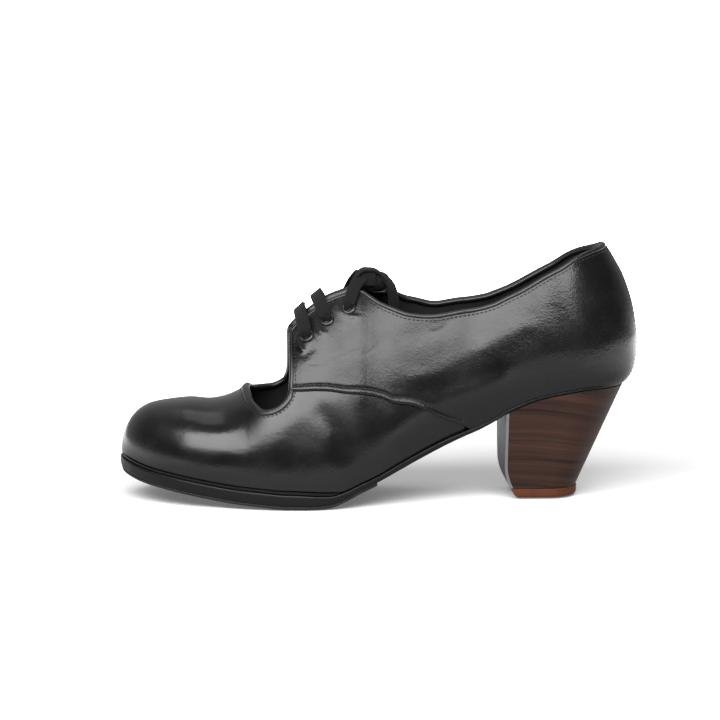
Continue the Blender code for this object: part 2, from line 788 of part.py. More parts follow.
def heel_places():
    """Places along the heel's side, from its breast to the middle of its back."""
    low = float(unroll_toe(0.0))
    place = HEEL_BREAST
    for _ in range(8):
        place = HEEL_BREAST - float(seat_shift(place)) / SHOE_LENGTH
    return roll_toe(np.linspace(float(unroll_toe(place)), low, 15))


def heel_front(height):
    """How far forward the heel's front lies: it leans back towards its base."""
    return HEEL_BREAST * SHOE_LENGTH - BREAST_TUCK * np.clip(1 - height / BREAST_TUCK_RISE, 0, 1) ** 2


def heel_ring(level, lip=0.0, inset=0.0, front=None):
    """One level of the heel's outline, as (x, y), from the outer breast corner round to the inner one."""
    places = heel_places()
    ring = [heel_point(place, 1, level, lip) for place in places]
    ring += [heel_point(place, -1, level, lip) for place in places[-2::-1]]
    shape = np.array(ring, float)
    breast = HEEL_BREAST * SHOE_LENGTH
    shape[0, 0] = shape[-1, 0] = breast
    back, half = shape[:, 0].min(), shape[:, 1].max()
    front = breast if front is None else front
    shape[:, 0] = back + inset + (shape[:, 0] - back) * (front - back - 2 * inset) / (breast - back)
    shape[:, 1] *= 1 - inset / half
    return shape


HEEL_LEVELS = (0.0, 0.08, 0.18, 0.32, 0.62, 1.0)


def make_heel():
    """The stacked wooden block, from its lift up to the seat."""
    base = LIFT_THICKNESS + PIECE_GAP
    top = heel_ring(1.0)
    height = sole_under(top[:, 0] / SHOE_LENGTH) - PIECE_GAP
    rows = []
    for level in HEEL_LEVELS:
        z = base + (height - base) * level
        rows.append(np.column_stack([heel_ring(level, front=float(heel_front(z[0]))), z]))
    size = len(rows[0])
    faces = ring_faces(len(rows), size)
    last_row = (len(rows) - 1) * size
    faces += strip_caps(size, 0) + strip_caps(size, last_row)
    make("heel_block", np.concatenate(rows), faces)


def strip_caps(size, start):
    """Faces across a ring of points, joining each point to the one opposite it."""
    faces = []
    for i in range(size // 2):
        j = size - 1 - i
        corners = [start + i, start + i + 1, start + j - 1, start + j]
        faces.append(tuple(dict.fromkeys(corners)))
    return [face for face in faces if len(face) > 2]


def make_breast_cover():
    """The thin cover of the heel's front, from the lift up to the sole."""
    base = LIFT_THICKNESS + PIECE_GAP
    points, columns = [], np.linspace(-1, 1, 5)
    levels = np.array(HEEL_LEVELS)
    for depth in (PIECE_GAP, PIECE_GAP + BREAST_COVER_THICKNESS):
        top = float(sole_under(HEEL_BREAST + depth / SHOE_LENGTH)) - PIECE_GAP
        for level in levels:
            z = base + (top - base) * level
            half = abs(heel_ring(level)[0][1])
            for share in columns:
                points.append((float(heel_front(z)) + depth, half * share, z))
    width, count = len(columns), len(columns) * len(levels)
    faces = []
    for row in range(len(levels) - 1):
        for k in range(width - 1):
            a = row * width + k
            quad = (a, a + 1, a + 1 + width, a + width)
            faces += [quad, tuple(c + count for c in reversed(quad))]
    rim = list(range(width - 1)) + [r * width + width - 1 for r in range(len(levels) - 1)]
    rim += [count - 1 - k for k in range(width - 1)] + [r * width for r in range(len(levels) - 1, 0, -1)]
    for a, b in zip(rim, rim[1:] + rim[:1]):
        faces.append((a, b, b + count, a + count))
    make("heel_breast_cover", points, faces)


def make_lift():
    """The lift under the heel, its front edge worn round, standing on its nail heads."""
    rows = []
    cover = BREAST_COVER_THICKNESS + PIECE_GAP
    for height, inset in ((LIFT_THICKNESS, 0.0), (LIFT_THICKNESS * 0.45, 0.0), (NAIL_HEIGHT, 0.5)):
        ring = heel_ring(0.0, LIFT_LIP, inset, front=float(heel_front(height)) + cover)
        rows.append(np.column_stack([ring, np.full(len(ring), height)]))
    size = len(rows[0])
    faces = ring_faces(3, size) + strip_caps(size, 0) + strip_caps(size, 2 * size)
    lift = make("top_lift", np.concatenate(rows), faces)
    edge = heel_ring(0.0, LIFT_LIP, NAIL_EDGE, front=float(heel_front(NAIL_HEIGHT)))
    spots = even_spots(edge, closed=True)
    nails = make_nails("lift_nails", [(x, y, 0.0, NAIL_HEIGHT + 0.6) for x, y in spots])
    boolean(lift, nails, "UNION")


def even_spots(line, closed=False):
    """Places a nail's pitch apart along a line."""
    line = np.array(line)
    if closed:
        line = np.concatenate([line, line[:1]])
    gone = np.concatenate([[0], np.cumsum(np.linalg.norm(np.diff(line, axis=0), axis=1))])
    count = max(2, round(gone[-1] / NAIL_PITCH))
    at = np.linspace(0, gone[-1], count + (not closed), endpoint=not closed)
    return [tuple(float(np.interp(d, gone, line[:, axis])) for axis in range(line.shape[1])) for d in at]


def make_nails(name, spots):
    """Nail heads as short round pegs: each spot gives x, y, its lowest height and its top."""
    points, faces = [], []
    for x, y, low, high in spots:
        start = len(points)
        for z, radius in ((low, NAIL_DIAMETER * 0.4), (high, NAIL_DIAMETER * 0.56)):
            for k in range(NAIL_SIDES):
                angle = 2 * math.pi * (k + 0.5) / NAIL_SIDES
                points.append((x + radius * math.cos(angle), y + radius * math.sin(angle), z))
        for face in ring_faces(2, NAIL_SIDES):
            faces.append(tuple(start + c for c in face))
        faces.append(tuple(start + k for k in range(NAIL_SIDES)))
        faces.append(tuple(start + NAIL_SIDES + k for k in range(NAIL_SIDES)))
    return make(name, points, faces, helper=True)


def make_toe_nails(half_sole):
    """Two rows of nail heads round the toe of the half sole."""
    spots = []
    for inset in (TOE_NAIL_EDGE, TOE_NAIL_EDGE + NAIL_PITCH):
        places = roll_toe(np.linspace(float(unroll_toe(TOE_NAIL_START)), float(unroll_toe(1.0)), 16))
        line = [outline(p, 1, inset) for p in places] + [outline(p, -1, inset) for p in places[::-1][1:]]
        spots += even_spots(line)
    pegs = []
    for x, y in spots:
        under = float(sole_under(x / SHOE_LENGTH)) - PIECE_GAP - HALF_SOLE_THICKNESS
        pegs.append((x, y, under - NAIL_HEIGHT, under + 0.6))
    boolean(half_sole, make_nails("toe_nails", pegs), "UNION")


def surface_frame(along, turn, side):
    """A point of the upper, its outward normal and the direction up the last, at one place."""
    step = 1e-3
    here = last(along, turn, side)
    up = last(along, turn + step, side) - last(along, turn - step, side)
    forward = last(along + step, turn, side) - last(along - step, turn, side)
    normal = np.cross(forward, up) * -side
    normal /= np.linalg.norm(normal)
    if normal[1] * side < 0 and turn < 1.2:
        normal = -normal
    return here, normal, up / np.linalg.norm(up)


def eyelet_place(row, side):
    along, across, _ = row
    return surface_frame(along, turn_across(along, FACING_GAP * across), side)


def turned(profile, centre, axis, sides):
    """A ring turned about an axis: the profile lists (radius, height) and closes on itself."""
    axis = axis / np.linalg.norm(axis)
    flat = np.cross(axis, (1.0, 0.0, 0.0))
    flat /= np.linalg.norm(flat)
    other = np.cross(axis, flat)
    rows = []
    for radius, height in profile:
        angles = 2 * math.pi * np.arange(sides) / sides
        spoke = np.outer(np.cos(angles), flat) + np.outer(np.sin(angles), other)
        rows.append(centre + spoke * radius + axis * height)
    return rows


def make_eyelets(upper):
    """Ringed eyelets through both facings, each in a hole with a clearance."""
    drill_points, drill_faces = [], []
    seat = OVERLAY_STEP + PIECE_GAP + 0.1
    bore, rim = EYELET_BORE / 2, EYELET_DIAMETER / 2
    barrel = bore + 0.45
    for side, word in ((1, "lateral"), (-1, "medial")):
        for number, row in enumerate(EYELETS, 1):
            centre, normal, _ = eyelet_place(row, side)
            profile = (
                (bore, -UPPER_WALL - 0.2),
                (bore, seat + EYELET_FLANGE * 0.6),
                (bore + 0.5, seat + EYELET_FLANGE),
                (rim - 0.35, seat + EYELET_FLANGE * 0.8),
                (rim, seat),
                (barrel, seat),
                (barrel, -UPPER_WALL - 0.2),
            )
            rows = turned(profile, centre, normal, EYELET_SIDES)
            faces = ring_faces(len(rows), EYELET_SIDES, closed_rows=True)
            make(f"eyelet_{word}_{number}", np.concatenate(rows), faces)
            hole = barrel + PIECE_GAP
            drill = turned([(hole, -UPPER_WALL - 4), (hole, 5.0)], centre, normal, EYELET_SIDES)
            start = len(drill_points)
            drill_points += list(np.concatenate(drill))
            drill_faces += [tuple(start + c for c in face) for face in ring_faces(2, EYELET_SIDES)]
            drill_faces.append(tuple(start + k for k in range(EYELET_SIDES)))
            drill_faces.append(tuple(start + EYELET_SIDES + k for k in range(EYELET_SIDES)))
    boolean(upper, make("eyelet_drill", drill_points, drill_faces, helper=True), "DIFFERENCE")


LACE_SECTION = (
    # across the lace's width, through its thickness
    (0.5, 0.18),
    (0.42, 0.5),
    (-0.42, 0.5),
    (-0.5, 0.18),
    (-0.5, -0.18),
    (-0.42, -0.5),
    (0.42, -0.5),
    (0.5, -0.18),
)


def sweep(name, centres, wide, thick):
    """A flat lace along its middle line: wide and thick give its two directions at each point."""
    rows = []
    for centre, flat, up in zip(centres, wide, thick):
        rows.append([centre + flat * (a * LACE_WIDTH) + up * (b * LACE_THICKNESS) for a, b in LACE_SECTION])
    size = len(LACE_SECTION)
    faces = ring_faces(len(rows), size)
    faces += [tuple(range(size)), tuple((len(rows) - 1) * size + k for k in range(size))]
    return make(name, np.concatenate(rows), faces)


def lace_over(row, start_side, shares):
    """Points, width and thickness directions of a lace that crosses the ridge between two eyelets."""
    along, across, crossing = row
    turn = turn_across(along, FACING_GAP * across)
    lift = OVERLAY_STEP + 2 * PIECE_GAP + 0.1 + EYELET_FLANGE + LACE_THICKNESS / 2
    centres, wide, thick = [], [], []
    for share in shares:
        side = start_side if share <= 0.5 else -start_side
        climb = 1 - abs(1 - 2 * share)
        here = along + (crossing - along) * math.sin(climb * math.pi / 2)
        place, normal, _ = surface_frame(here, turn + (math.pi / 2 - 0.02 - turn) * climb, side)
        if climb > 0.98:
            normal = np.array([normal[0], 0.0, abs(normal[2])])
            normal /= np.linalg.norm(normal)
            place[1] = (1 - 2 * share) * start_side
        centres.append(place + normal * lift * (1 - SPAN_DROP * climb**2))
        thick.append(normal)
    centres = np.array(centres)
    path = np.gradient(centres, axis=0)
    for direction, normal in zip(path, thick):
        across_lace = np.cross(direction, normal)
        wide.append(across_lace / np.linalg.norm(across_lace))
    return centres, wide, thick


def make_lace_bars():
    for number, row in enumerate(EYELETS[:2], 1):
        centres, wide, thick = lace_over(row, 1, np.linspace(0, 1, 15))
        sweep(f"lace_bar_{number}", centres, wide, thick)
    for side, word in ((1, "lateral"), (-1, "medial")):
        centres, wide, thick = lace_over(EYELETS[2], side, np.linspace(0, 0.25, 7))
        sweep(f"lace_bar_3_{word}", centres, wide, thick)


def knot_centre():
    """The knot lies just under the lace's own crossings, above the upper end of the facings."""
    place, _, _ = surface_frame(EYELETS[2][2] - KNOT_BACK, math.pi / 2 - 0.02, 1)
    return np.array([place[0], 0.0, place[2] + KNOT_LIFT])


def make_knot():
    """The flat knot as one rounded lump, wider than it is high."""
    centre = knot_centre()
    points, across, up = [], 14, 7
    for row in range(1, up):
        angle = math.pi * row / up - math.pi / 2
        for k in range(across):
            spin = 2 * math.pi * k / across
            flat = math.cos(angle) ** 0.7
            x = math.copysign(abs(math.cos(spin)) ** 0.8, math.cos(spin)) * flat * KNOT_LENGTH / 2
            y = math.copysign(abs(math.sin(spin)) ** 0.8, math.sin(spin)) * flat * KNOT_WIDTH / 2
            points.append(centre + (x, y, math.sin(angle) * KNOT_HEIGHT / 2))
    faces = ring_faces(up - 1, across)
    faces.append(tuple(range(across)))
    faces.append(tuple((up - 2) * across + k for k in range(across)))
    make("lace_knot", points, faces)


def make_lace_ends():
    for side, word in ((1, "lateral"), (-1, "medial")):
        route = np.array([(x + SHOE_LENGTH / 2, y * side, z) for x, y, z in LACE_END_ROUTE])
        path = np.gradient(route, axis=0)
        wide, thick = [], []
        for direction in path:
            flat = np.array([0.0, 1.0, 0.0])
            flat = flat - direction * (flat @ direction) / (direction @ direction)
            flat /= np.linalg.norm(flat)
            up = np.cross(direction, flat)
            wide.append(flat)
            thick.append(up / np.linalg.norm(up))
        sweep(f"lace_end_{word}", route, wide, thick)


def clear_scene():
    for thing in list(bpy.data.objects):
        bpy.data.objects.remove(thing, do_unlink=True)


def finish_pieces():
    """Gives every piece its own material and smooth shading, and gathers them under one empty."""
    shoe = bpy.data.objects.new("shoe", None)
    bpy.context.scene.collection.objects.link(shoe)
    for piece in list(bpy.context.scene.collection.objects):
        if piece.type != "MESH":
            continue
        piece.parent = shoe
        if piece.hide_render:
            continue
        look = next(values for start, values in LOOKS.items() if piece.name.startswith(start))
        colour, roughness, metallic = look
        material = bpy.data.materials.new(piece.name)
        material.use_nodes = True
        surface = material.node_tree.nodes["Principled BSDF"]
        surface.inputs["Base Color"].default_value = (*colour, 1.0)
        surface.inputs["Roughness"].default_value = roughness
        surface.inputs["Metallic"].default_value = metallic
        piece.data.materials.append(material)
        piece.data.shade_smooth()
        piece.data.set_sharp_from_angle(angle=SHARP_ANGLE)


def main():
    clear_scene()
    ring, grid = upper_grid()
    upper = make_upper(ring, grid)
    overlay = make_overlay(ring)
    boolean(upper, overlay, "UNION")
    half_sole = make_soles()
    make_toe_nails(half_sole)
    make_welt()
    make_heel()
    make_breast_cover()
    make_lift()
    make_eyelets(upper)
    make_lace_bars()
    make_knot()
    make_lace_ends()
    finish_pieces()


main()
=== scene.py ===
"""A black leather flamenco shoe for the left foot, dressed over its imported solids.

The toe points to +X, the outer side of the foot to +Y and up to +Z, with the floor at Z = 0. Lengths are in
millimetres from the back of the heel until a mesh is made. Tables hold shares of the named sizes.
"""

import math

import bmesh
import bpy
import numpy as np
from mathutils import Matrix, Vector
from mathutils.bvhtree import BVHTree


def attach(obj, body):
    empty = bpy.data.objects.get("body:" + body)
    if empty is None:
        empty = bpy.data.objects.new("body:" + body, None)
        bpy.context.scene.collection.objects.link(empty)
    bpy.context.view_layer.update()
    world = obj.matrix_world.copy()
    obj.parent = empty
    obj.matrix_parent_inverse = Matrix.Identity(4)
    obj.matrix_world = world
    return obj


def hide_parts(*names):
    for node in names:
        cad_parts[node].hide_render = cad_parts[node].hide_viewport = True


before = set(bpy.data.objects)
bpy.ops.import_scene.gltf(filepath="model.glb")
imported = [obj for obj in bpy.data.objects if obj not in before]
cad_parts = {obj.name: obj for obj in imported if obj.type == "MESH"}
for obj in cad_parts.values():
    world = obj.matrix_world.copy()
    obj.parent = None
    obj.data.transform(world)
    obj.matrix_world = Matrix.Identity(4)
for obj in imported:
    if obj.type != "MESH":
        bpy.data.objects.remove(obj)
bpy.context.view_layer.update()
MM = 0.001

# Driving sizes of the shoe
SHOE_LENGTH = 245.0
BALL_WIDTH = 84.0
HEEL_HEIGHT = 53.0
TOE_SPRING = 12.2
INSTEP_RISE = 94.0
QUARTER_HEIGHT = 64.4
CUTOUT_RISE = 36.0
BOX_MIDDLE = 0.0225

# Soles
SOLE_THICKNESS = 5.4
HALF_SOLE_THICKNESS = 1.3
HALF_SOLE_START = 0.508
WELT_THICKNESS = 1.2
WELT_START = 0.60
WELT_WIDTH = 7.0
WELT_LIP = 0.5
SOLE_LIP = 1.3
INSOLE_THICKNESS = 1.6
PIECE_GAP = 0.3

# Upper
UPPER_WALL = 2.0
OVERLAY_STEP = 0.9
FACING_GAP = 23.0
TUCK_RISE = 22.0
LEAN_START = 0.30
LEAN_TOP = 1.3
LEAN_CURVE = 1.6
HEEL_ROUND_GROWTH = 0.55
TOE_PULL = 0.7

# Heel
HEEL_BREAST = 0.2563
HEEL_BASE_LENGTH = 34.3
HEEL_BASE_WIDTH = 37.0
BREAST_TUCK = 6.0
BREAST_TUCK_RISE = 16.0
LIFT_THICKNESS = 4.6
LIFT_LIP = 0.3
BREAST_COVER_THICKNESS = 1.1

# Eyelets and lace
EYELET_DIAMETER = 6.3
EYELET_BORE = 4.0
EYELET_FLANGE = 0.7
LACE_WIDTH = 6.3
LACE_THICKNESS = 1.1
SPAN_DROP = 0.45
KNOT_LENGTH = 12.4
KNOT_WIDTH = 15.0
KNOT_HEIGHT = 5.4
KNOT_BACK = 0.006
KNOT_LIFT = -0.8

# Nails
NAIL_DIAMETER = 2.6
NAIL_PITCH = 4.1
NAIL_HEIGHT = 0.5
NAIL_EDGE = 3.2

# Side view of the sole: shares of SHOE_LENGTH from the heel, then of HEEL_HEIGHT, TOE_SPRING and
# SOLE_THICKNESS
SOLE_SIDE = (
    # along, heel_lift, toe_lift, thickness
    (0.000, 1.000, 0.000, 0.22),
    (0.097, 0.990, 0.000, 0.22),
    (0.150, 0.952, 0.000, 0.22),
    (0.202, 0.898, 0.000, 0.24),
    (0.232, 0.843, 0.000, 0.26),
    (0.258, 0.784, 0.000, 0.28),
    (0.284, 0.704, 0.000, 0.31),
    (0.310, 0.636, 0.000, 0.36),
    (0.345, 0.564, 0.000, 0.43),
    (0.397, 0.448, 0.000, 0.52),
    (0.464, 0.292, 0.000, 0.55),
    (0.508, 0.190, 0.000, 0.50),
    (0.542, 0.122, 0.000, 0.53),
    (0.571, 0.056, 0.000, 0.60),
    (0.599, 0.010, 0.000, 0.74),
    (0.625, 0.000, 0.000, 0.88),
    (0.680, 0.000, 0.000, 1.00),
    (0.721, 0.000, 0.065, 1.00),
    (0.774, 0.000, 0.160, 0.98),
    (0.830, 0.000, 0.320, 0.96),
    (0.901, 0.000, 0.560, 0.96),
    (0.951, 0.000, 0.740, 0.98),
    (1.000, 0.000, 1.000, 1.00),
)

# Plan of the sole: shares of BALL_WIDTH
PLAN = (
    # along, middle, half_width, swell_lateral, swell_medial
    (0.000, 0.000, 0.325, 0.024, 0.024),
    (0.150, 0.001, 0.325, 0.034, 0.034),
    (0.245, 0.009, 0.312, 0.046, 0.052),
    (0.306, 0.018, 0.292, 0.066, 0.082),
    (0.367, 0.030, 0.287, 0.072, 0.100),
    (0.429, 0.045, 0.312, 0.058, 0.092),
    (0.490, 0.057, 0.364, 0.038, 0.070),
    (0.551, 0.058, 0.425, 0.024, 0.046),
    (0.612, 0.045, 0.477, 0.018, 0.028),
    (0.653, 0.033, 0.497, 0.017, 0.022),
    (0.702, 0.017, 0.500, 0.016, 0.019),
    (0.755, 0.000, 0.486, 0.015, 0.017),
    (0.816, -0.020, 0.452, 0.014, 0.014),
    (0.857, -0.036, 0.432, 0.012, 0.012),
    (0.906, -0.054, 0.416, 0.008, 0.008),
    (0.947, -0.067, 0.408, 0.004, 0.004),
    (1.000, -0.078, 0.400, 0.000, 0.000),
)
TOE_ROUND = 0.155
HEEL_ROUND = 0.114

# Sections of the upper: rise of its ridge over its foot, where the ridge lies across, squareness, and how far
# each side leans in at QUARTER_HEIGHT, share of BALL_WIDTH
SECTIONS = (
    # along, ridge_rise, ridge_middle, squareness, lean
    (0.000, 1.060, 0.000, 2.30, 0.030),
    (0.120, 1.069, 0.000, 2.30, 0.060),
    (0.190, 1.075, 0.000, 2.30, 0.108),
    (0.257, 1.095, 0.000, 2.26, 0.126),
    (0.328, 1.095, 0.000, 2.20, 0.102),
    (0.398, 1.050, -0.005, 2.12, 0.052),
    (0.449, 0.990, -0.012, 2.04, 0.020),
    (0.500, 0.962, -0.016, 1.95, 0.004),
    (0.522, 0.972, -0.018, 1.92, 0.000),
    (0.546, 0.996, -0.018, 1.89, 0.000),
    (0.575, 0.990, -0.018, 1.86, 0.000),
    (0.596, 0.962, -0.018, 1.85, 0.000),
    (0.627, 0.897, -0.018, 1.85, 0.000),
    (0.657, 0.822, -0.017, 1.86, 0.000),
    (0.673, 0.770, -0.015, 1.89, 0.000),
    (0.700, 0.672, -0.012, 1.98, 0.000),
    (0.727, 0.558, -0.010, 2.12, 0.000),
    (0.745, 0.488, -0.011, 2.22, 0.000),
    (0.759, 0.440, -0.012, 2.30, 0.000),
    (0.787, 0.392, -0.016, 2.38, 0.000),
    (0.803, 0.374, -0.020, 2.40, 0.000),
    (0.829, 0.354, -0.028, 2.42, 0.000),
    (0.860, 0.347, -0.040, 2.42, 0.000),
    (0.888, 0.328, -0.050, 2.42, 0.000),
    (0.934, 0.296, -0.064, 2.42, 0.000),
    (0.976, 0.289, -0.074, 2.40, 0.000),
    (1.000, 0.285, -0.078, 2.40, 0.000),
)
TOE_BOX_ROUND = 0.085

# Back of the heel: rise over the foot of the upper, share of QUARTER_HEIGHT, and how far forward it lies
BACK_CURVE = (
    # rise, forward
    (0.000, 6.3),
    (0.020, 5.0),
    (0.045, 3.8),
    (0.110, 2.1),
    (0.215, 1.1),
    (0.300, 0.9),
    (0.410, 1.5),
    (0.547, 3.1),
    (0.685, 5.7),
    (0.783, 8.2),
    (0.873, 11.4),
    (0.970, 15.2),
    (1.000, 17.4),
)
BACK_REACH = 0.49

# Edge of the upper, from the throat's middle round the cut-out, up the facing and along the collar
EDGE_LATERAL = (
    # foot, along, across, cutout_rise, collar_rise, columns
    (1.000, 0.7555, 0.00, None, None, 3),
    (0.962, 0.7545, 0.30, None, None, 3),
    (0.873, 0.7520, 0.66, None, None, 3),
    (0.800, 0.7460, 1.04, None, None, 2),
    (0.767, 0.7350, 1.27, None, None, 2),
    (0.737, 0.7215, None, 0.980, None, 2),
    (0.706, 0.6970, None, 1.045, None, 2),
    (0.676, 0.6800, None, 1.160, None, 2),
    (0.646, 0.6715, None, 1.380, None, 3),
    (0.606, 0.6700, 0.60, None, None, 2),
    (0.586, 0.6640, 0.51, None, None, 3),
    (0.545, 0.5970, 0.50, None, None, 2),
    (0.503, 0.5330, 0.52, None, None, 1),
    (0.488, 0.5180, 0.59, None, None, 1),
    (0.471, 0.5010, None, None, 1.207, 1),
    (0.428, 0.4500, None, None, 1.033, 2),
    (0.368, 0.3910, None, None, 0.915, 2),
    (0.298, 0.3240, None, None, 0.849, 3),
    (0.224, 0.2500, None, None, 0.800, 4),
    (0.122, 0.1680, None, None, 0.870, 3),
    (0.033, 0.1060, None, None, 0.960, 2),
    (0.000, 0.0727, None, None, 1.000, 0),
)
EDGE_MEDIAL = (
    # foot, along, across, cutout_rise, collar_rise, columns
    (1.000, 0.7555, 0.00, None, None, 3),
    (0.962, 0.7545, 0.30, None, None, 3),
    (0.873, 0.7520, 0.66, None, None, 3),
    (0.800, 0.7455, 1.00, None, None, 2),
    (0.767, 0.7360, 1.16, None, None, 2),
    (0.739, 0.7220, None, 1.094, None, 2),
    (0.710, 0.7000, None, 1.120, None, 2),
    (0.680, 0.6830, None, 1.190, None, 2),
    (0.650, 0.6745, None, 1.390, None, 3),
    (0.610, 0.6735, 0.60, None, None, 2),
    (0.590, 0.6680, 0.51, None, None, 3),
    (0.547, 0.5970, 0.50, None, None, 2),
    (0.500, 0.5250, 0.52, None, None, 1),
    (0.484, 0.5080, 0.59, None, None, 1),
    (0.466, 0.4900, None, None, 1.235, 1),
    (0.423, 0.4400, None, None, 1.075, 2),
    (0.363, 0.3810, None, None, 0.928, 2),
    (0.294, 0.3180, None, None, 0.865, 3),
    (0.221, 0.2450, None, None, 0.795, 4),
    (0.121, 0.1660, None, None, 0.855, 3),
    (0.033, 0.1050, None, None, 0.950, 2),
    (0.000, 0.0727, None, None, 1.000, 0),
)

# Lower edge of the quarters where they lap over the vamp: rise over the foot, share of CUTOUT_RISE
OVERLAY_EDGE = (
    # along, rise
    (0.326, -0.040),
    (0.343, 0.080),
    (0.374, 0.250),
    (0.418, 0.520),
    (0.460, 0.756),
    (0.500, 0.964),
    (0.541, 1.142),
    (0.602, 1.283),
    (0.663, 1.247),
    (0.760, 1.240),
)

EYELETS = (
    # along, across (share of FACING_GAP), crossing (where its lace crosses the ridge)
    (0.637, 0.900, 0.648),
    (0.599, 0.820, 0.616),
    (0.558, 0.745, 0.530),
)

# Middle line of the lace's outer end, from the knot down into the shoe. The inner end mirrors it.
LACE_END_ROUTE = (
    # x, y, z in millimetres, from the middle of the shoe's length and of the heel's width
    (-0.9, 3.8, 102.8),
    (-2.8, 3.9, 102.5),
    (-4.5, 4.0, 101.4),
    (-5.7, 4.2, 99.4),
    (-6.4, 4.4, 96.8),
    (-6.8, 4.6, 93.8),
    (-6.9, 4.9, 90.4),
    (-6.7, 5.3, 87.0),
    (-6.3, 5.8, 83.6),
    (-5.7, 6.5, 80.2),
    (-4.9, 7.4, 76.8),
    (-3.9, 8.4, 73.5),
    (-2.8, 9.5, 70.4),
    (-1.6, 10.6, 67.4),
    (-0.3, 11.7, 64.5),
)

# Soft troughs (depth above zero) and ridges (below zero) of the worn leather, as seen from the outer side
CREASES = (
    # depth, half width, points (x, z) in millimetres
    (0.13, 0.80, ((154.9, 65.4), (149.9, 65.6), (145.3, 66.7), (141.6, 68.6), (137.4, 70.1), (134.2, 71.5))),
    (0.08, 0.90, ((136.0, 70.8), (131.4, 69.4), (126.8, 71.2), (123.1, 74.4))),
    (0.07, 0.70, ((144.4, 67.4), (141.6, 65.1), (137.9, 66.9))),
    (-0.38, 4.6, ((107.0, 59.0), (102.3, 59.4), (98.0, 60.6), (92.5, 63.6), (86.0, 67.6), (79.6, 70.6),
                  (71.0, 74.8), (63.0, 78.8), (55.6, 82.2))),
    (0.34, 5.0, ((118.8, 75.2), (112.8, 77.4), (104.6, 79.6), (95.4, 81.8), (88.4, 84.1), (82.4, 86.8))),
    (0.16, 0.8, ((98.1, 79.4), (93.5, 81.2), (89.8, 84.9))),
    (0.12, 5.5, ((136.0, 80.0), (129.0, 78.5), (122.0, 79.5))),
    (-0.55, 0.9, ((160.2, 77.6), (160.6, 75.0), (160.0, 72.4), (158.4, 71.4))),
    (-0.60, 1.0, ((152.4, 85.6), (152.2, 82.4), (150.7, 79.9), (148.6, 78.6))),
    (-0.60, 1.0, ((141.9, 93.6), (142.0, 90.9), (140.4, 88.3), (137.3, 86.4), (134.0, 86.0))),
    (0.30, 2.0, ((163.0, 70.0), (158.0, 69.0), (154.5, 72.0))),
    (-0.12, 4.2, ((218.8, 44.6), (212.9, 41.8), (207.9, 38.4), (200.6, 36.2), (191.4, 35.8), (180.9, 36.2),
                  (169.4, 38.4), (157.9, 43.4), (148.7, 48.6))),
    (0.07, 1.6, ((204.5, 40.6), (206.4, 37.0), (210.9, 36.0))),
    (0.35, 5.0, ((150.0, 44.0), (143.0, 36.0), (140.0, 27.0))),
    (0.30, 4.0, ((68.0, 62.0), (78.0, 58.0), (90.0, 55.5))),
)


def smooth(table, column, at):
    """Monotone cubic through one column of a table, at the given places along it."""
    x = np.array([row[0] for row in table], float)
    y = np.array([row[column] for row in table], float)
    step, slope = np.diff(x), np.diff(y) / np.diff(x)
    same = slope[:-1] * slope[1:] > 0
    first, last_step = 2 * step[1:] + step[:-1], step[1:] + 2 * step[:-1]
    with np.errstate(divide="ignore", invalid="ignore"):
        inner = np.where(same, (first + last_step) / (first / slope[:-1] + last_step / slope[1:]), 0.0)
    tangent = np.concatenate([slope[:1], inner, slope[-1:]])
    at = np.asarray(at, float)
    i = np.clip(np.searchsorted(x, at) - 1, 0, len(step) - 1)
    t = np.clip((at - x[i]) / step[i], 0.0, 1.0)
    h = step[i]
    return (
        (1 + 2 * t) * (1 - t) ** 2 * y[i]
        + t * (1 - t) ** 2 * h * tangent[i]
        + t * t * (3 - 2 * t) * y[i + 1]
        + t * t * (t - 1) * h * tangent[i + 1]
    )


def ease(low, high, at):
    t = np.clip((at - low) / (high - low), 0.0, 1.0)
    return t * t * (3 - 2 * t)


def sole_under(along):
    flat = HALF_SOLE_THICKNESS + PIECE_GAP
    lift = (HEEL_HEIGHT - flat) * smooth(SOLE_SIDE, 1, along)
    return flat + lift + TOE_SPRING * smooth(SOLE_SIDE, 2, along)


def sole_top(along):
    return sole_under(along) + SOLE_THICKNESS * smooth(SOLE_SIDE, 3, along)


def welt_share(along):
    return ease(WELT_START - 0.03, WELT_START, along)


def foot_height(along):
    """Height of the upper's lower edge, just over the sole and its welt."""
    return sole_top(along) + PIECE_GAP + (WELT_THICKNESS + PIECE_GAP) * welt_share(along)


def closing(along, heel_round=HEEL_ROUND):
    """Rounds the plan off at the toe and at the heel."""
    toe = np.clip((along - 1 + TOE_ROUND) / TOE_ROUND, 0, 1)
    heel = np.clip((heel_round - along) / heel_round, 0, 1)
    return np.sqrt(np.clip(1 - toe**2, 0, 1)) * np.sqrt(np.clip(1 - heel**2, 0, 1))


def back_fade(along):
    return np.clip(1 - along / BACK_REACH, 0, 1) ** 2


def seat_shift(along):
    return (BACK_CURVE[0][1] + 0.2) * back_fade(along)


def real_along(along):
    return along + seat_shift(along) / SHOE_LENGTH


def plan_point(along, side):
    half = BALL_WIDTH * smooth(PLAN, 2, along) * closing(along)
    middle = BALL_WIDTH * smooth(PLAN, 1, along)
    return SHOE_LENGTH * along + seat_shift(along), middle + side * half


def outline(along, side, inset=0.0):
    """A point of the sole's edge in plan, moved inwards by inset."""
    along = np.asarray(along, float)
    nudge = 1e-4
    ends = [np.clip(along - nudge, 0, 1), np.clip(along + nudge, 0, 1)]
    x, y = plan_point(along, side)
    (x0, y0), (x1, y1) = (plan_point(end, side) for end in ends)
    dx, dy = x1 - x0, (y1 - y0) * side
    length = np.hypot(dx, dy)
    return x + inset * dy / length, y - side * inset * dx / length


def foot_half_width(along):
    return BALL_WIDTH * smooth(PLAN, 2, along) * closing(along)


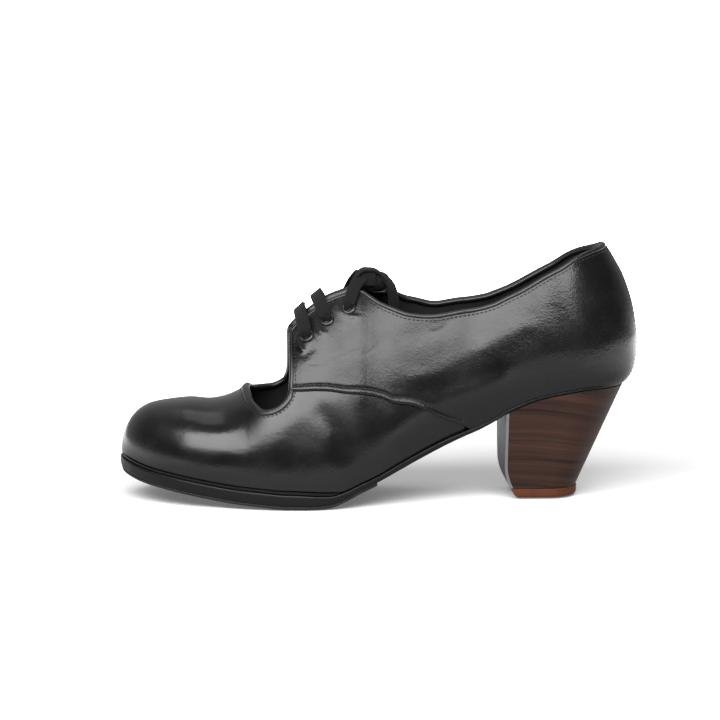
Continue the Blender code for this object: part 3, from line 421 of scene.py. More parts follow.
def ridge_rise(along):
    toe = np.clip((along - 1 + TOE_BOX_ROUND) / TOE_BOX_ROUND, 0, 1)
    return INSTEP_RISE * smooth(SECTIONS, 1, along) * np.sqrt(np.clip(1 - toe**2, 0, 1))


def last(along, turn, side):
    """The outer surface of the upper: turn goes from 0 at its foot to a quarter circle at the ridge."""
    power = 2 / smooth(SECTIONS, 3, along)
    out, up = np.cos(turn).clip(0) ** power, np.sin(turn).clip(0) ** power
    rise = ridge_rise(along) * up
    height_share = rise / QUARTER_HEIGHT
    round_heel = HEEL_ROUND * (1 + HEEL_ROUND_GROWTH * np.clip(height_share, 0, 1.2))
    full = BALL_WIDTH * smooth(PLAN, 2, along)
    swell = BALL_WIDTH * smooth(PLAN, 3 if side > 0 else 4, along)
    tuck = swell * np.clip(1 - rise / TUCK_RISE, 0, 1) ** 2
    above = np.clip((height_share - LEAN_START) / (1 - LEAN_START), 0, LEAN_TOP)
    lean = BALL_WIDTH * smooth(SECTIONS, 4, along) * above**LEAN_CURVE
    half = ((full + swell) * out - lean) * closing(along, round_heel) - tuck * closing(along, HEEL_ROUND)
    half = half - SOLE_LIP * closing(along) * np.clip(1 - 0.3 * height_share, 0.5, 1)
    middle = smooth(PLAN, 1, along) + (smooth(SECTIONS, 2, along) - smooth(PLAN, 1, along)) * up
    forward = smooth(BACK_CURVE, 1, np.clip(height_share, 0, 1)) * back_fade(along)
    x = SHOE_LENGTH * along + forward - TOE_PULL * ease(0.9, 1.0, along)
    z = foot_height(real_along(along)) + rise
    return np.stack([x, BALL_WIDTH * middle + side * np.maximum(half, 0), z], -1)


def unroll(along):
    """A coordinate along the sole's edge that runs evenly round the heel."""
    along = np.asarray(along, float)
    angle = np.arccos(np.clip(1 - along / HEEL_ROUND, -1, 1))
    return np.where(along < HEEL_ROUND, HEEL_ROUND * angle, HEEL_ROUND * (math.pi / 2 - 1) + along)


def roll(place):
    angle = np.clip(place / HEEL_ROUND, 0, math.pi / 2)
    rolled = HEEL_ROUND * (1 - np.cos(angle))
    return np.where(place < HEEL_ROUND * math.pi / 2, rolled, place - HEEL_ROUND * (math.pi / 2 - 1))


def unroll_toe(along):
    along = np.asarray(along, float)
    start = 1 - TOE_ROUND
    angle = np.arcsin(np.clip((along - start) / TOE_ROUND, 0, 1))
    return np.where(along > start, unroll(start) + TOE_ROUND * angle, unroll(along))


def roll_toe(place):
    start = 1 - TOE_ROUND
    edge = float(unroll(start))
    angle = np.clip((place - edge) / TOE_ROUND, 0, math.pi / 2)
    return np.where(place > edge, start + TOE_ROUND * np.sin(angle), roll(place))


def turn_across(along, distance):
    power = smooth(SECTIONS, 3, along) / 2
    return math.acos(min(1.0, (distance / foot_half_width(along)) ** power))


def base_along(x_share, rise):
    along = x_share
    forward = smooth(BACK_CURVE, 1, min(rise / QUARTER_HEIGHT, 1.0)) / SHOE_LENGTH
    for _ in range(30):
        along = max(0.0, x_share - forward * back_fade(along))
    return along


def turn_at_rise(along, rise):
    power = smooth(SECTIONS, 3, along) / 2
    return math.asin(min(1.0, (rise / ridge_rise(along)) ** power))


def edge_row(row):
    foot, along, across, cutout, collar, _ = row
    if across is not None:
        return foot, along, turn_across(along, FACING_GAP * across)
    rise = CUTOUT_RISE * cutout if cutout is not None else QUARTER_HEIGHT * collar
    base = base_along(along, rise)
    return foot, base, turn_at_rise(base, rise)


def columns_of(table, count):
    """Foot, edge and turn of evenly shared columns on one side, from the toe to the heel."""
    knots = np.concatenate([[0], np.cumsum([row[5] for row in table[:-1]])])
    rows = [edge_row(row) for row in table]
    at = np.linspace(0, knots[-1], count)
    feet = smooth([(k, float(unroll_toe(r[0]))) for k, r in zip(knots, rows)], 1, at)
    edges = smooth([(k, float(unroll(r[1]))) for k, r in zip(knots, rows)], 1, at)
    turns = smooth([(k, r[2]) for k, r in zip(knots, rows)], 1, at)
    return roll_toe(feet), roll(edges), turns


def meridian(foot, edge, turn, side, samples=96):
    """Points of the last from its foot up to its edge: straight in plan at the toe, evenly swept elsewhere."""
    t = np.linspace(0, 1, samples)
    swept = roll(unroll(foot) + (unroll(edge) - unroll(foot)) * t)
    sweep_turn = turn * t
    power = 2 / smooth(SECTIONS, 3, edge)
    steps = (1 - np.cos(turn * t) ** power) / max(1 - math.cos(turn) ** power, 1e-6)
    plan_along = foot + (edge - foot) * steps
    foot_out = float(foot_half_width(foot))
    edge_out = float(foot_half_width(edge)) * math.cos(turn) ** power
    out = foot_out + (edge_out - foot_out) * steps
    width = np.maximum(foot_half_width(plan_along), 1e-6)
    plan_turn = np.arccos(np.clip(out / width, 0, 1) ** (smooth(SECTIONS, 3, plan_along) / 2))
    plan_turn[0] = 0.0
    blend = float(ease(0.69, 0.79, foot))
    return last(swept + (plan_along - swept) * blend, sweep_turn + (plan_turn - sweep_turn) * blend, side)


def along_path(path, distances):
    """Points of a path at the given distances from its start."""
    gone = np.concatenate([[0], np.cumsum(np.linalg.norm(np.diff(path, axis=0), axis=1))])
    return np.stack([np.interp(distances, gone, path[:, axis]) for axis in range(3)], -1)


def path_length(path):
    return float(np.linalg.norm(np.diff(path, axis=0), axis=1).sum())


def unit(vectors):
    vectors = np.asarray(vectors, float)
    return vectors / np.maximum(np.linalg.norm(vectors, axis=-1, keepdims=True), 1e-12)


# Meshes

def in_frame(points):
    """Points in metres in the shoe's own frame, centred on its box."""
    return (np.asarray(points, float) - (SHOE_LENGTH / 2, BALL_WIDTH * BOX_MIDDLE, 0.0)) * MM


def make(name, points, faces, material, replaces=(), sharp=0.6):
    mesh = bpy.data.meshes.new(name)
    mesh.from_pydata(in_frame(points).tolist(), [], [tuple(int(c) for c in face) for face in faces])
    mesh.validate()
    mesh.update()
    made = bpy.data.objects.new(name, mesh)
    bpy.context.scene.collection.objects.link(made)
    mesh.shade_smooth()
    mesh.set_sharp_from_angle(angle=sharp)
    for one in material if isinstance(material, (list, tuple)) else [material]:
        mesh.materials.append(one)
    declare(made, replaces)
    return made


def declare(made, replaces=()):
    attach(made, "root")
    if replaces:
        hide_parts(*replaces)


def grid_faces(columns, rows, around, start=0, flip=False):
    """Quads of a grid whose points run along the rows first. around joins the last column to the first."""
    faces = []
    for i in range(columns if around else columns - 1):
        j = (i + 1) % columns
        for k in range(rows - 1):
            quad = (i * rows + k, j * rows + k, j * rows + k + 1, i * rows + k + 1)
            faces.append(tuple(start + c for c in (quad[::-1] if flip else quad)))
    return faces


def tube_faces(rings, size, capped=True, closed_rows=False):
    """Quads between neighbouring rings of points, with an end face at each end."""
    faces = []
    for row in range(rings if closed_rows else rings - 1):
        under = (row + 1) % rings
        for i in range(size):
            j = (i + 1) % size
            faces.append((row * size + i, row * size + j, under * size + j, under * size + i))
    if capped and not closed_rows:
        faces += [tuple(range(size)), tuple((rings - 1) * size + k for k in range(size))]
    return faces


def turn_out(made):
    """Makes the faces of a closed mesh point outwards."""
    body = bmesh.new()
    body.from_mesh(made.data)
    bmesh.ops.remove_doubles(body, verts=body.verts, dist=1e-7)
    bmesh.ops.recalc_face_normals(body, faces=body.faces)
    if body.calc_volume(signed=True) < 0:
        bmesh.ops.reverse_faces(body, faces=body.faces)
    body.to_mesh(made.data)
    body.free()
    return made


def shell(name, outer, inner, around, material, replaces=()):
    """A closed skin from two grids of points [column][row]: outside, inside and the rims between them."""
    columns, rows = outer.shape[:2]
    points = np.concatenate([outer.reshape(-1, 3), inner.reshape(-1, 3)])
    shift = columns * rows
    faces = grid_faces(columns, rows, around) + grid_faces(columns, rows, around, shift, flip=True)
    for i in range(columns if around else columns - 1):
        j = (i + 1) % columns
        for k, turned_round in ((0, False), (rows - 1, True)):
            a, b = i * rows + k, j * rows + k
            quad = (b, a, a + shift, b + shift)
            faces.append(quad[::-1] if turned_round else quad)
    if not around:
        for i, turned_round in ((0, False), (columns - 1, True)):
            for k in range(rows - 1):
                a, b = i * rows + k, i * rows + k + 1
                quad = (a, b, b + shift, a + shift)
                faces.append(quad[::-1] if turned_round else quad)
    return turn_out(make(name, points, faces, material, replaces))


def grid_normals(grid, around):
    """Outward normals of a grid of points [column][row] over the shoe."""
    if around:
        across = np.roll(grid, -1, axis=0) - np.roll(grid, 1, axis=0)
    else:
        across = np.gradient(grid, axis=0)
    cross = np.cross(across, np.gradient(grid, axis=1))
    return -unit(cross)


# Materials

def link(tree, start, end):
    tree.links.new(start, end)


def node(tree, kind, values=None, **settings):
    made = tree.nodes.new(kind)
    for key, value in settings.items():
        setattr(made, key, value)
    for key, value in (values or {}).items():
        made.inputs[key].default_value = value
    return made


def surface(name, colour, roughness, **values):
    """A new material and its Principled surface. values names further sockets of it."""
    made = bpy.data.materials.new(name)
    made.use_nodes = True
    tree = made.node_tree
    shader = tree.nodes["Principled BSDF"]
    shader.inputs["Base Color"].default_value = (*colour, 1)
    shader.inputs["Roughness"].default_value = roughness
    for key, value in values.items():
        shader.inputs[key.replace("_", " ")].default_value = value
    return made, tree, shader


def noise(tree, scale, detail=3.0, stretch=(1, 1, 1), source="Object"):
    place = node(tree, "ShaderNodeTexCoord")
    mapped = node(tree, "ShaderNodeMapping")
    mapped.inputs["Scale"].default_value = stretch
    link(tree, place.outputs[source], mapped.inputs["Vector"])
    made = node(tree, "ShaderNodeTexNoise", {"Scale": scale, "Detail": detail})
    link(tree, mapped.outputs["Vector"], made.inputs["Vector"])
    return made.outputs["Fac"]


def spread(tree, source, low, high, start=0.3, end=0.7):
    """Maps a pattern's middle range, start to end, onto low to high."""
    values = {"From Min": start, "From Max": end, "To Min": low, "To Max": high}
    made = node(tree, "ShaderNodeMapRange", values)
    link(tree, source, made.inputs["Value"])
    return made.outputs["Result"]


def blend_colour(tree, share, first, second):
    made = node(tree, "ShaderNodeMix", data_type="RGBA")
    made.inputs["A"].default_value = (*first, 1)
    made.inputs["B"].default_value = (*second, 1)
    link(tree, share, made.inputs["Factor"])
    return made.outputs["Result"]


def bumps(tree, shader, layers):
    """Stacks bump layers: each gives its height, its strength and its depth in metres."""
    under = None
    for height, strength, depth in layers:
        made = node(tree, "ShaderNodeBump", {"Strength": strength, "Distance": depth})
        link(tree, height, made.inputs["Height"])
        if under is not None:
            link(tree, under, made.inputs["Normal"])
        under = made.outputs["Normal"]
    link(tree, under, shader.inputs["Normal"])


def leather(name, colour, worn, roughness, grain, shine):
    """Waxed leather: soft patches of wear, a fine grain and pebbles as strong as grain says."""
    made, tree, shader = surface(name, colour, roughness, IOR=1.5, Specular_IOR_Level=shine)
    patches = spread(tree, noise(tree, 34, 3), 0, 1, 0.35, 0.75)
    link(tree, blend_colour(tree, patches, colour, worn), shader.inputs["Base Color"])
    gloss = spread(tree, noise(tree, 60, 4), roughness - 0.07, roughness + 0.08)
    link(tree, gloss, shader.inputs["Roughness"])
    pebble = node(tree, "ShaderNodeTexVoronoi", {"Scale": 1500.0, "Randomness": 1.0}, feature="SMOOTH_F1")
    place = node(tree, "ShaderNodeTexCoord")
    link(tree, place.outputs["Object"], pebble.inputs["Vector"])
    bumps(tree, shader, [
        (noise(tree, 110, 3), 0.10 * grain, 0.0006),
        (noise(tree, 520, 4), 0.13 * grain, 0.0003),
        (pebble.outputs["Distance"], 0.16 * grain, 0.00016),
    ])
    return made


def wood():
    """Dark stained stack: near-level streaks that fall towards the back, redder and lighter in patches."""
    made, tree, shader = surface("heel_wood", (0.030, 0.017, 0.012), 0.42, Specular_IOR_Level=0.22)
    place = node(tree, "ShaderNodeTexCoord")
    parts = node(tree, "ShaderNodeSeparateXYZ")
    link(tree, place.outputs["Object"], parts.inputs["Vector"])
    arch = node(tree, "ShaderNodeMath", operation="MULTIPLY_ADD")
    arch.inputs[1].default_value = 1.0
    arch.inputs[2].default_value = 0.062
    link(tree, parts.outputs["X"], arch.inputs[0])
    square = node(tree, "ShaderNodeMath", operation="MULTIPLY")
    link(tree, arch.outputs["Value"], square.inputs[0])
    link(tree, arch.outputs["Value"], square.inputs[1])
    lifted = node(tree, "ShaderNodeMath", operation="MULTIPLY_ADD")
    lifted.inputs[1].default_value = 3.2
    link(tree, square.outputs["Value"], lifted.inputs[0])
    link(tree, parts.outputs["Z"], lifted.inputs[2])
    bent = node(tree, "ShaderNodeCombineXYZ")
    link(tree, parts.outputs["X"], bent.inputs["X"])
    link(tree, parts.outputs["Y"], bent.inputs["Y"])
    link(tree, lifted.outputs["Value"], bent.inputs["Z"])

    def streaks(scale, detail, stretch):
        mapped = node(tree, "ShaderNodeMapping")
        mapped.inputs["Scale"].default_value = stretch
        link(tree, bent.outputs["Vector"], mapped.inputs["Vector"])
        pattern = node(tree, "ShaderNodeTexNoise", {"Scale": scale, "Detail": detail, "Roughness": 0.6})
        link(tree, mapped.outputs["Vector"], pattern.inputs["Vector"])
        return pattern.outputs["Fac"]

    broad = streaks(9, 3, (0.5, 0.5, 24))
    fine = streaks(40, 4, (0.5, 0.5, 30))
    ramp = node(tree, "ShaderNodeValToRGB")
    stops = ((0.30, (0.013, 0.007, 0.006)), (0.44, (0.035, 0.016, 0.012)), (0.56, (0.048, 0.022, 0.015)),
             (0.72, (0.080, 0.034, 0.020)))
    while len(ramp.color_ramp.elements) < len(stops):
        ramp.color_ramp.elements.new(0.5)
    for element, (at, colour) in zip(ramp.color_ramp.elements, stops):
        element.position = at
        element.color = (*colour, 1)
    link(tree, broad, ramp.inputs["Fac"])
    mix = node(tree, "ShaderNodeMix", data_type="RGBA", blend_type="MULTIPLY")
    mix.inputs["Factor"].default_value = 0.55
    link(tree, ramp.outputs["Color"], mix.inputs["A"])
    shades = blend_colour(tree, spread(tree, fine, 0, 1), (0.45, 0.45, 0.48), (1.4, 1.3, 1.25))
    link(tree, shades, mix.inputs["B"])
    link(tree, mix.outputs["Result"], shader.inputs["Base Color"])
    bumps(tree, shader, [(fine, 0.25, 0.0002), (noise(tree, 700, 3), 0.12, 0.0001)])
    return made


def plain(name, colour, roughness, grain_scale, grain, **values):
    """A plain finish with a little colour change and a fine grain."""
    made, tree, shader = surface(name, colour, roughness, **values)
    darker = tuple(c * 0.7 for c in colour)
    patches = spread(tree, noise(tree, 55, 4), 0, 1)
    link(tree, blend_colour(tree, patches, darker, colour), shader.inputs["Base Color"])
    gloss = spread(tree, noise(tree, 160, 3), roughness - 0.05, roughness + 0.06)
    link(tree, gloss, shader.inputs["Roughness"])
    bumps(tree, shader, [(noise(tree, grain_scale, 4), grain, 0.0003)])
    return made


def weave():
    """Flat braid of the lace, in its own U across and V along, in millimetres."""
    made, tree, shader = surface("lace_weave", (0.010, 0.010, 0.0105), 0.9)
    shader.inputs["Sheen Weight"].default_value = 0.04
    shader.inputs["Specular IOR Level"].default_value = 0.2
    place = node(tree, "ShaderNodeTexCoord")
    heights = []
    for angle in (0.6, -0.6):
        mapped = node(tree, "ShaderNodeMapping")
        mapped.inputs["Rotation"].default_value = (0, 0, angle)
        link(tree, place.outputs["UV"], mapped.inputs["Vector"])
        wave = node(tree, "ShaderNodeTexWave", {"Scale": 0.62, "Distortion": 0.2})
        link(tree, mapped.outputs["Vector"], wave.inputs["Vector"])
        heights.append(wave.outputs["Fac"])
    both = node(tree, "ShaderNodeMath", operation="MULTIPLY")
    link(tree, heights[0], both.inputs[0])
    link(tree, heights[1], both.inputs[1])
    # Painted shade: the braid's colour follows its bump height, darker in the hollows between the threads and
    # lighter on their crowns.
    link(tree, blend_colour(tree, both.outputs["Value"], (0.004, 0.004, 0.0043), (0.014, 0.014, 0.0146)),
         shader.inputs["Base Color"])
    bumps(tree, shader, [(both.outputs["Value"], 0.6, 0.0003), (noise(tree, 2500, 2), 0.3, 0.0001)])
    return made


BLACK = leather("black_leather", (0.0045, 0.0045, 0.0047), (0.0065, 0.0065, 0.0068), 0.225, 0.9, 0.46)
QUARTER = leather("quarter_leather", (0.0045, 0.0045, 0.0047), (0.0068, 0.0068, 0.0071), 0.265, 1.9, 0.40)
BOUND = leather("binding_leather", (0.0045, 0.0045, 0.0047), (0.0065, 0.0065, 0.0068), 0.33, 1.2, 0.5)
LINING = leather("lining_leather", (0.012, 0.012, 0.0125), (0.018, 0.0175, 0.017), 0.60, 0.8, 0.5)
THREAD = plain("thread", (0.008, 0.008, 0.0084), 0.42, 3000, 0.4)
SOLE_EDGE = plain("sole_edge", (0.0045, 0.0045, 0.0045), 0.40, 700, 0.25, Specular_IOR_Level=0.3)
SOLE_RUBBER = plain("sole_rubber", (0.010, 0.010, 0.010), 0.62, 1600, 0.5)
INSOLE = plain("insole_leather", (0.030, 0.028, 0.026), 0.7, 900, 0.3)
WOOD = wood()
COVER = plain("breast_cover", (0.010, 0.010, 0.010), 0.42, 300, 0.04)
COVER_EDGE = plain("breast_cover_edge", (0.21, 0.205, 0.195), 0.4, 600, 0.1)
LIFT = plain("lift_leather", (0.120, 0.036, 0.015), 0.55, 900, 0.5, Specular_IOR_Level=0.25)
NAIL = plain("nail_steel", (0.55, 0.55, 0.54), 0.28, 1500, 0.2, Metallic=0.9)
ENAMEL = plain("eyelet_enamel", (0.010, 0.010, 0.011), 0.14, 900, 0.05, Coat_Weight=0.7, Coat_Roughness=0.06)
WEAVE = weave()


# Camera and lights

def place_camera():
    """The photograph's view: from the outer side, turned a little to the toe and a little down."""
    yaw, pitch, tilt = (math.radians(angle) for angle in (2.5, 7.5, -0.09))
    distance, focal, picture = 1200.0, 2536.0, 720
    look = np.array([-math.sin(yaw) * math.cos(pitch), -math.cos(yaw) * math.cos(pitch), -math.sin(pitch)])
    target = np.array([SHOE_LENGTH / 2, 0.0, 55.0])
    data = bpy.data.cameras.new("camera")
    data.sensor_width = 36.0
    data.lens = focal / picture * data.sensor_width
    data.shift_x = -18.55 / picture
    data.shift_y = 18.62 / picture
    data.clip_start = 0.05
    data.clip_end = 60
    made = bpy.data.objects.new("camera", data)
    bpy.context.scene.collection.objects.link(made)
    facing = Vector(look).to_track_quat("-Z", "Y").to_matrix().to_4x4()
    stand = Matrix.Translation(in_frame(target - look * distance))
    made.matrix_world = stand @ facing @ Matrix.Rotation(tilt, 4, "Z")
    bpy.context.scene.camera = made


def area_light(name, place, aim, size, power, tint=(1, 1, 1)):
    data = bpy.data.lights.new(name, "AREA")
    data.shape = "RECTANGLE"
    data.size, data.size_y = size
    data.energy = power
    data.color = tint
    made = bpy.data.objects.new(name, data)
    bpy.context.scene.collection.objects.link(made)
    made.location = place
    made.rotation_euler = (Vector(aim) - Vector(place)).to_track_quat("-Z", "Y").to_euler()


def light_room():
    area_light("key", (0.235, 0.945, 0.965), (0, 0, 0.05), (1.6, 0.86), 36)
    area_light("overhead", (-0.1, -0.35, 1.5), (0, 0, 0), (1.6, 0.9), 4)
    world = bpy.data.worlds.new("room")
    bpy.context.scene.world = world
    world.use_nodes = True
    tree = world.node_tree
    back = tree.nodes["Background"]
    place = node(tree, "ShaderNodeTexCoord")
    parts = node(tree, "ShaderNodeSeparateXYZ")
    link(tree, place.outputs["Generated"], parts.inputs["Vector"])
    height = spread(tree, parts.outputs["Z"], 0, 0.6, 0.35, 0.95)
    behind = spread(tree, parts.outputs["Y"], 1, 0, -0.6, 0.0)
    either = node(tree, "ShaderNodeMath", operation="MAXIMUM")
    link(tree, height, either.inputs[0])
    link(tree, behind, either.inputs[1])
    glow = blend_colour(tree, either.outputs["Value"], (0.03, 0.03, 0.032), (0.4, 0.4, 0.4))
    path = node(tree, "ShaderNodeLightPath")
    seen = node(tree, "ShaderNodeMix", data_type="RGBA")
    link(tree, path.outputs["Is Camera Ray"], seen.inputs["Factor"])
    link(tree, glow, seen.inputs["A"])
    seen.inputs["B"].default_value = (4, 4, 4, 1)
    link(tree, seen.outputs["Result"], back.inputs["Color"])


def lay_floor():
    """White paper that ends in front of the shoe, where the camera stops seeing it, and glows far away."""
    mesh = bpy.data.meshes.new("floor")
    wide, deep, front = 1.6, 1.2, 0.46
    corners = [(-wide, -deep, 0), (wide, -deep, 0), (wide, front, 0), (-wide, front, 0)]
    mesh.from_pydata(corners, [], [(0, 1, 2, 3)])
    made = bpy.data.objects.new("floor", mesh)
    bpy.context.scene.collection.objects.link(made)
    made.location.z = -0.0003
    look, tree, shader = surface("floor_paper", (0.9, 0.9, 0.9), 0.6)
    shader.inputs["Specular IOR Level"].default_value = 0.2
    shader.inputs["Emission Color"].default_value = (1, 1, 1, 1)
    place = node(tree, "ShaderNodeTexCoord")
    far = node(tree, "ShaderNodeVectorMath", operation="LENGTH")
    link(tree, place.outputs["Object"], far.inputs[0])
    link(tree, spread(tree, far.outputs["Value"], 0.14, 3.5, 0.20, 0.8), shader.inputs["Emission Strength"])
    # Painted shade: the paper is 0.9 to the camera but 0.38 in the shoe's reflections and in the light it
    # bounces.
    path = node(tree, "ShaderNodeLightPath")
    paper = blend_colour(tree, path.outputs["Is Camera Ray"], (0.38, 0.38, 0.38), (0.9, 0.9, 0.9))
    link(tree, paper, shader.inputs["Base Color"])
    mesh.materials.append(look)


# Lace

def surface_frame(along, turn, side):
    """A point of the upper, its outward normal and the direction up the last, at one place."""
    step = 1e-3
    here = last(along, turn, side)
    up = last(along, turn + step, side) - last(along, turn - step, side)
    forward = last(along + step, turn, side) - last(along - step, turn, side)
    normal = unit(np.cross(forward, up) * -side)
    if normal[1] * side < 0 and turn < 1.2:
        normal = -normal
    return here, normal, unit(up)


def eyelet_place(row, side):
    along, across, _ = row
    return surface_frame(along, turn_across(along, FACING_GAP * across), side)


LACE_SECTION = (
    # across the lace's width, through its thickness
    (0.5, 0.10), (0.485, 0.32), (0.44, 0.46), (0.25, 0.5), (0.0, 0.5), (-0.25, 0.5),
    (-0.44, 0.46), (-0.485, 0.32), (-0.5, 0.10), (-0.5, -0.10), (-0.485, -0.32), (-0.44, -0.46),
    (-0.25, -0.5), (0.0, -0.5), (0.25, -0.5), (0.44, -0.46), (0.485, -0.32), (0.5, -0.10),
)


def ribbon(name, centres, wide, thick, replaces=(), widths=None):
    """A flat lace along its middle line, with its weave's own UV in millimetres."""
    centres = np.asarray(centres, float)
    rows = []
    for k, centre in enumerate(centres):
        across = wide[k] * LACE_WIDTH * (1.0 if widths is None else widths[k])
        through = thick[k] * LACE_THICKNESS
        rows.append(np.array([centre + across * a + through * b for a, b in LACE_SECTION]))
    size = len(LACE_SECTION)
    made = make(name, np.concatenate(rows), tube_faces(len(rows), size), WEAVE, replaces, sharp=1.0)
    gone = np.concatenate([[0], np.cumsum(np.linalg.norm(np.diff(centres, axis=0), axis=1))])
    layer = made.data.uv_layers.new(name="UVMap")
    for loop in made.data.loops:
        row, place = divmod(loop.vertex_index, size)
        layer.data[loop.index].uv = (LACE_SECTION[place][0] * LACE_WIDTH, gone[row])
    return made


def path_frame(centres, normals):
    """Directions across and through a flat lace, from its middle line and the way that its face looks."""
    path = np.gradient(np.asarray(centres, float), axis=0)
    wide = unit(np.cross(path, normals))
    return wide, unit(np.cross(wide, path))


def lace_over(row, start_side, shares):
    """Points and face directions of a lace that crosses the ridge from one eyelet to the other."""
    along, across, crossing = row
    turn = turn_across(along, FACING_GAP * across)
    lift = OVERLAY_STEP + 2 * PIECE_GAP + 0.1 + EYELET_FLANGE + LACE_THICKNESS / 2
    centres, faces = [], []
    for share in shares:
        side = start_side if share <= 0.5 else -start_side
        climb = 1 - abs(1 - 2 * share)
        here = along + (crossing - along) * math.sin(climb * math.pi / 2)
        place, normal, _ = surface_frame(here, turn + (math.pi / 2 - 0.02 - turn) * climb, side)
        if climb > 0.98:
            normal = unit(np.array([normal[0], 0.0, abs(normal[2])]))
            place[1] = (1 - 2 * share) * start_side
        centres.append(place + normal * lift * (1 - SPAN_DROP * climb**2))
        faces.append(normal)
    return np.array(centres), np.array(faces)


def dive(row, side):
    """Points of the lace's way into its eyelet, from inside the shoe up to the ring's lip."""
    centre, normal, up = eyelet_place(row, side)
    toward = unit(np.cross(np.cross(normal, up), normal))
    steps = ((-4.5, 0.4), (-2.0, 0.3), (0.3, 0.2))
    inside = [centre + normal * rise - toward * aside for rise, aside in steps]
    return np.array(inside), np.array([toward, toward, unit(toward + normal)])


def lace_bar(name, row, shares, start_side, both, replaces):
    centres, faces = lace_over(row, start_side, shares)
    deep, deep_faces = dive(row, start_side)
    centres, faces = np.concatenate([deep, centres[1:]]), np.concatenate([-deep_faces, faces[1:]])
    widths = [0.5, 0.56, 0.7] + [0.92] + [1.0] * (len(centres) - 4)
    if both:
        deep, deep_faces = dive(row, -start_side)
        centres = np.concatenate([centres[:-1], deep[::-1]])
        faces = np.concatenate([faces[:-1], -deep_faces[::-1]])
        widths = widths[: len(centres) - 4] + [0.92, 0.7, 0.56, 0.5]
    wide, thick = path_frame(centres, faces)
    return ribbon(name, centres, wide, thick, replaces, widths)


def lace_end(word, side):
    """One free end of the lace: from the knot, over the top of the facing and down inside the shoe."""
    fine = np.array([(x + SHOE_LENGTH / 2, y * side, z) for x, y, z in LACE_END_ROUTE])
    path = np.gradient(fine, axis=0)
    flat = unit(np.array([0.0, 1.0, 0.0]) - unit(path) * unit(path)[:, 1:2])
    twist = (0.9 * np.sin(np.linspace(0, math.pi, len(fine))) ** 0.7)[:, None]
    wide = flat * np.cos(twist) + unit(np.cross(path, flat)) * np.sin(twist) * side
    thick = unit(np.cross(path, wide))
    made = ribbon(f"lace_end_{word}", fine, wide, thick, [f"lace_end_{word}"])
    return made


def knot_centre():
    place, _, _ = surface_frame(EYELETS[2][2] - KNOT_BACK, math.pi / 2 - 0.02, 1)
    return np.array([place[0], 0.0, place[2] + KNOT_LIFT])


place_camera()
bpy.context.scene.view_settings.view_transform = "Standard"
lace_end("lateral", 1)
lace_end("medial", -1)
light_room()
lay_floor()


# Upper

SIDE_COLUMNS = 236
TOE_DEPTH = 30.0
SOFT_ANGLE = 2.6
BASE_ROWS = 100
RING = []
for edge_table, edge_side in ((EDGE_LATERAL, 1), (EDGE_MEDIAL, -1)):
    columns = zip(*columns_of(edge_table, SIDE_COLUMNS))
    RING.append([meridian(foot, edge, turn, edge_side) for foot, edge, turn in columns])
RING = RING[0] + RING[1][1:-1][::-1]
LENGTHS = np.array([path_length(path) for path in RING])


def lap_start(path):
    """How far up its meridian the quarter's folded edge lies, or None in front of the facings."""
    length = path_length(path)
    gone = np.linspace(0, length, 160)
    fine = along_path(path, gone)
    over = fine[:, 2] - foot_height(fine[:, 0] / SHOE_LENGTH)
    over = over - CUTOUT_RISE * smooth(OVERLAY_EDGE, 1, fine[:, 0] / SHOE_LENGTH)
    above = np.nonzero(over > 0)[0]
    if not len(above):
        return None
    k = above[0]
    if k == 0:
        return 0.0
    return float(gone[k - 1] + (gone[k] - gone[k - 1]) * -over[k - 1] / (over[k] - over[k - 1]))


LAPS = [lap_start(path) for path in RING]
for side_rows in (range(1, SIDE_COLUMNS), range(SIDE_COLUMNS, len(RING) - 1)):
    lapped = [i for i in side_rows if LAPS[i] is not None and LAPS[i] > 2.0]
    even = np.convolve([LAPS[i] for i in lapped], np.ones(9) / 9, "same")
    for i, lap in list(zip(lapped, even))[5:-5]:
        LAPS[i] = float(lap)

BASE = np.array([along_path(path, np.linspace(0, length, BASE_ROWS)) for path, length in zip(RING, LENGTHS)])
BASE_NORMALS = grid_normals(BASE, True)
if ((BASE - BASE.mean(axis=(0, 1))) * BASE_NORMALS).sum() < 0:
    BASE_NORMALS = -BASE_NORMALS
BASE_QUADS = grid_faces(len(RING), BASE_ROWS, True)
BASE_TREE = BVHTree.FromPolygons(BASE.reshape(-1, 3).tolist(), BASE_QUADS)


def on_base(point):
    """The nearest point of the bare upper, and its outward normal."""
    place, _, index, _ = BASE_TREE.find_nearest(Vector(point))
    corners = list(BASE_QUADS[index])
    points = BASE.reshape(-1, 3)[corners]
    weight = 1 / (np.linalg.norm(points - np.array(place), axis=1) + 1e-3)
    normal = (BASE_NORMALS.reshape(-1, 3)[corners] * weight[:, None]).sum(axis=0)
    return np.array(place), unit(normal)


def line_distance(x, z, points):
    """Distance in side view from each place to a broken line."""
    best = np.full(x.shape, 1e9)
    for (x0, z0), (x1, z1) in zip(points, points[1:]):
        dx, dz = x1 - x0, z1 - z0
        t = np.clip(((x - x0) * dx + (z - z0) * dz) / (dx * dx + dz * dz), 0, 1)
        best = np.minimum(best, np.hypot(x - x0 - t * dx, z - z0 - t * dz))
    return best


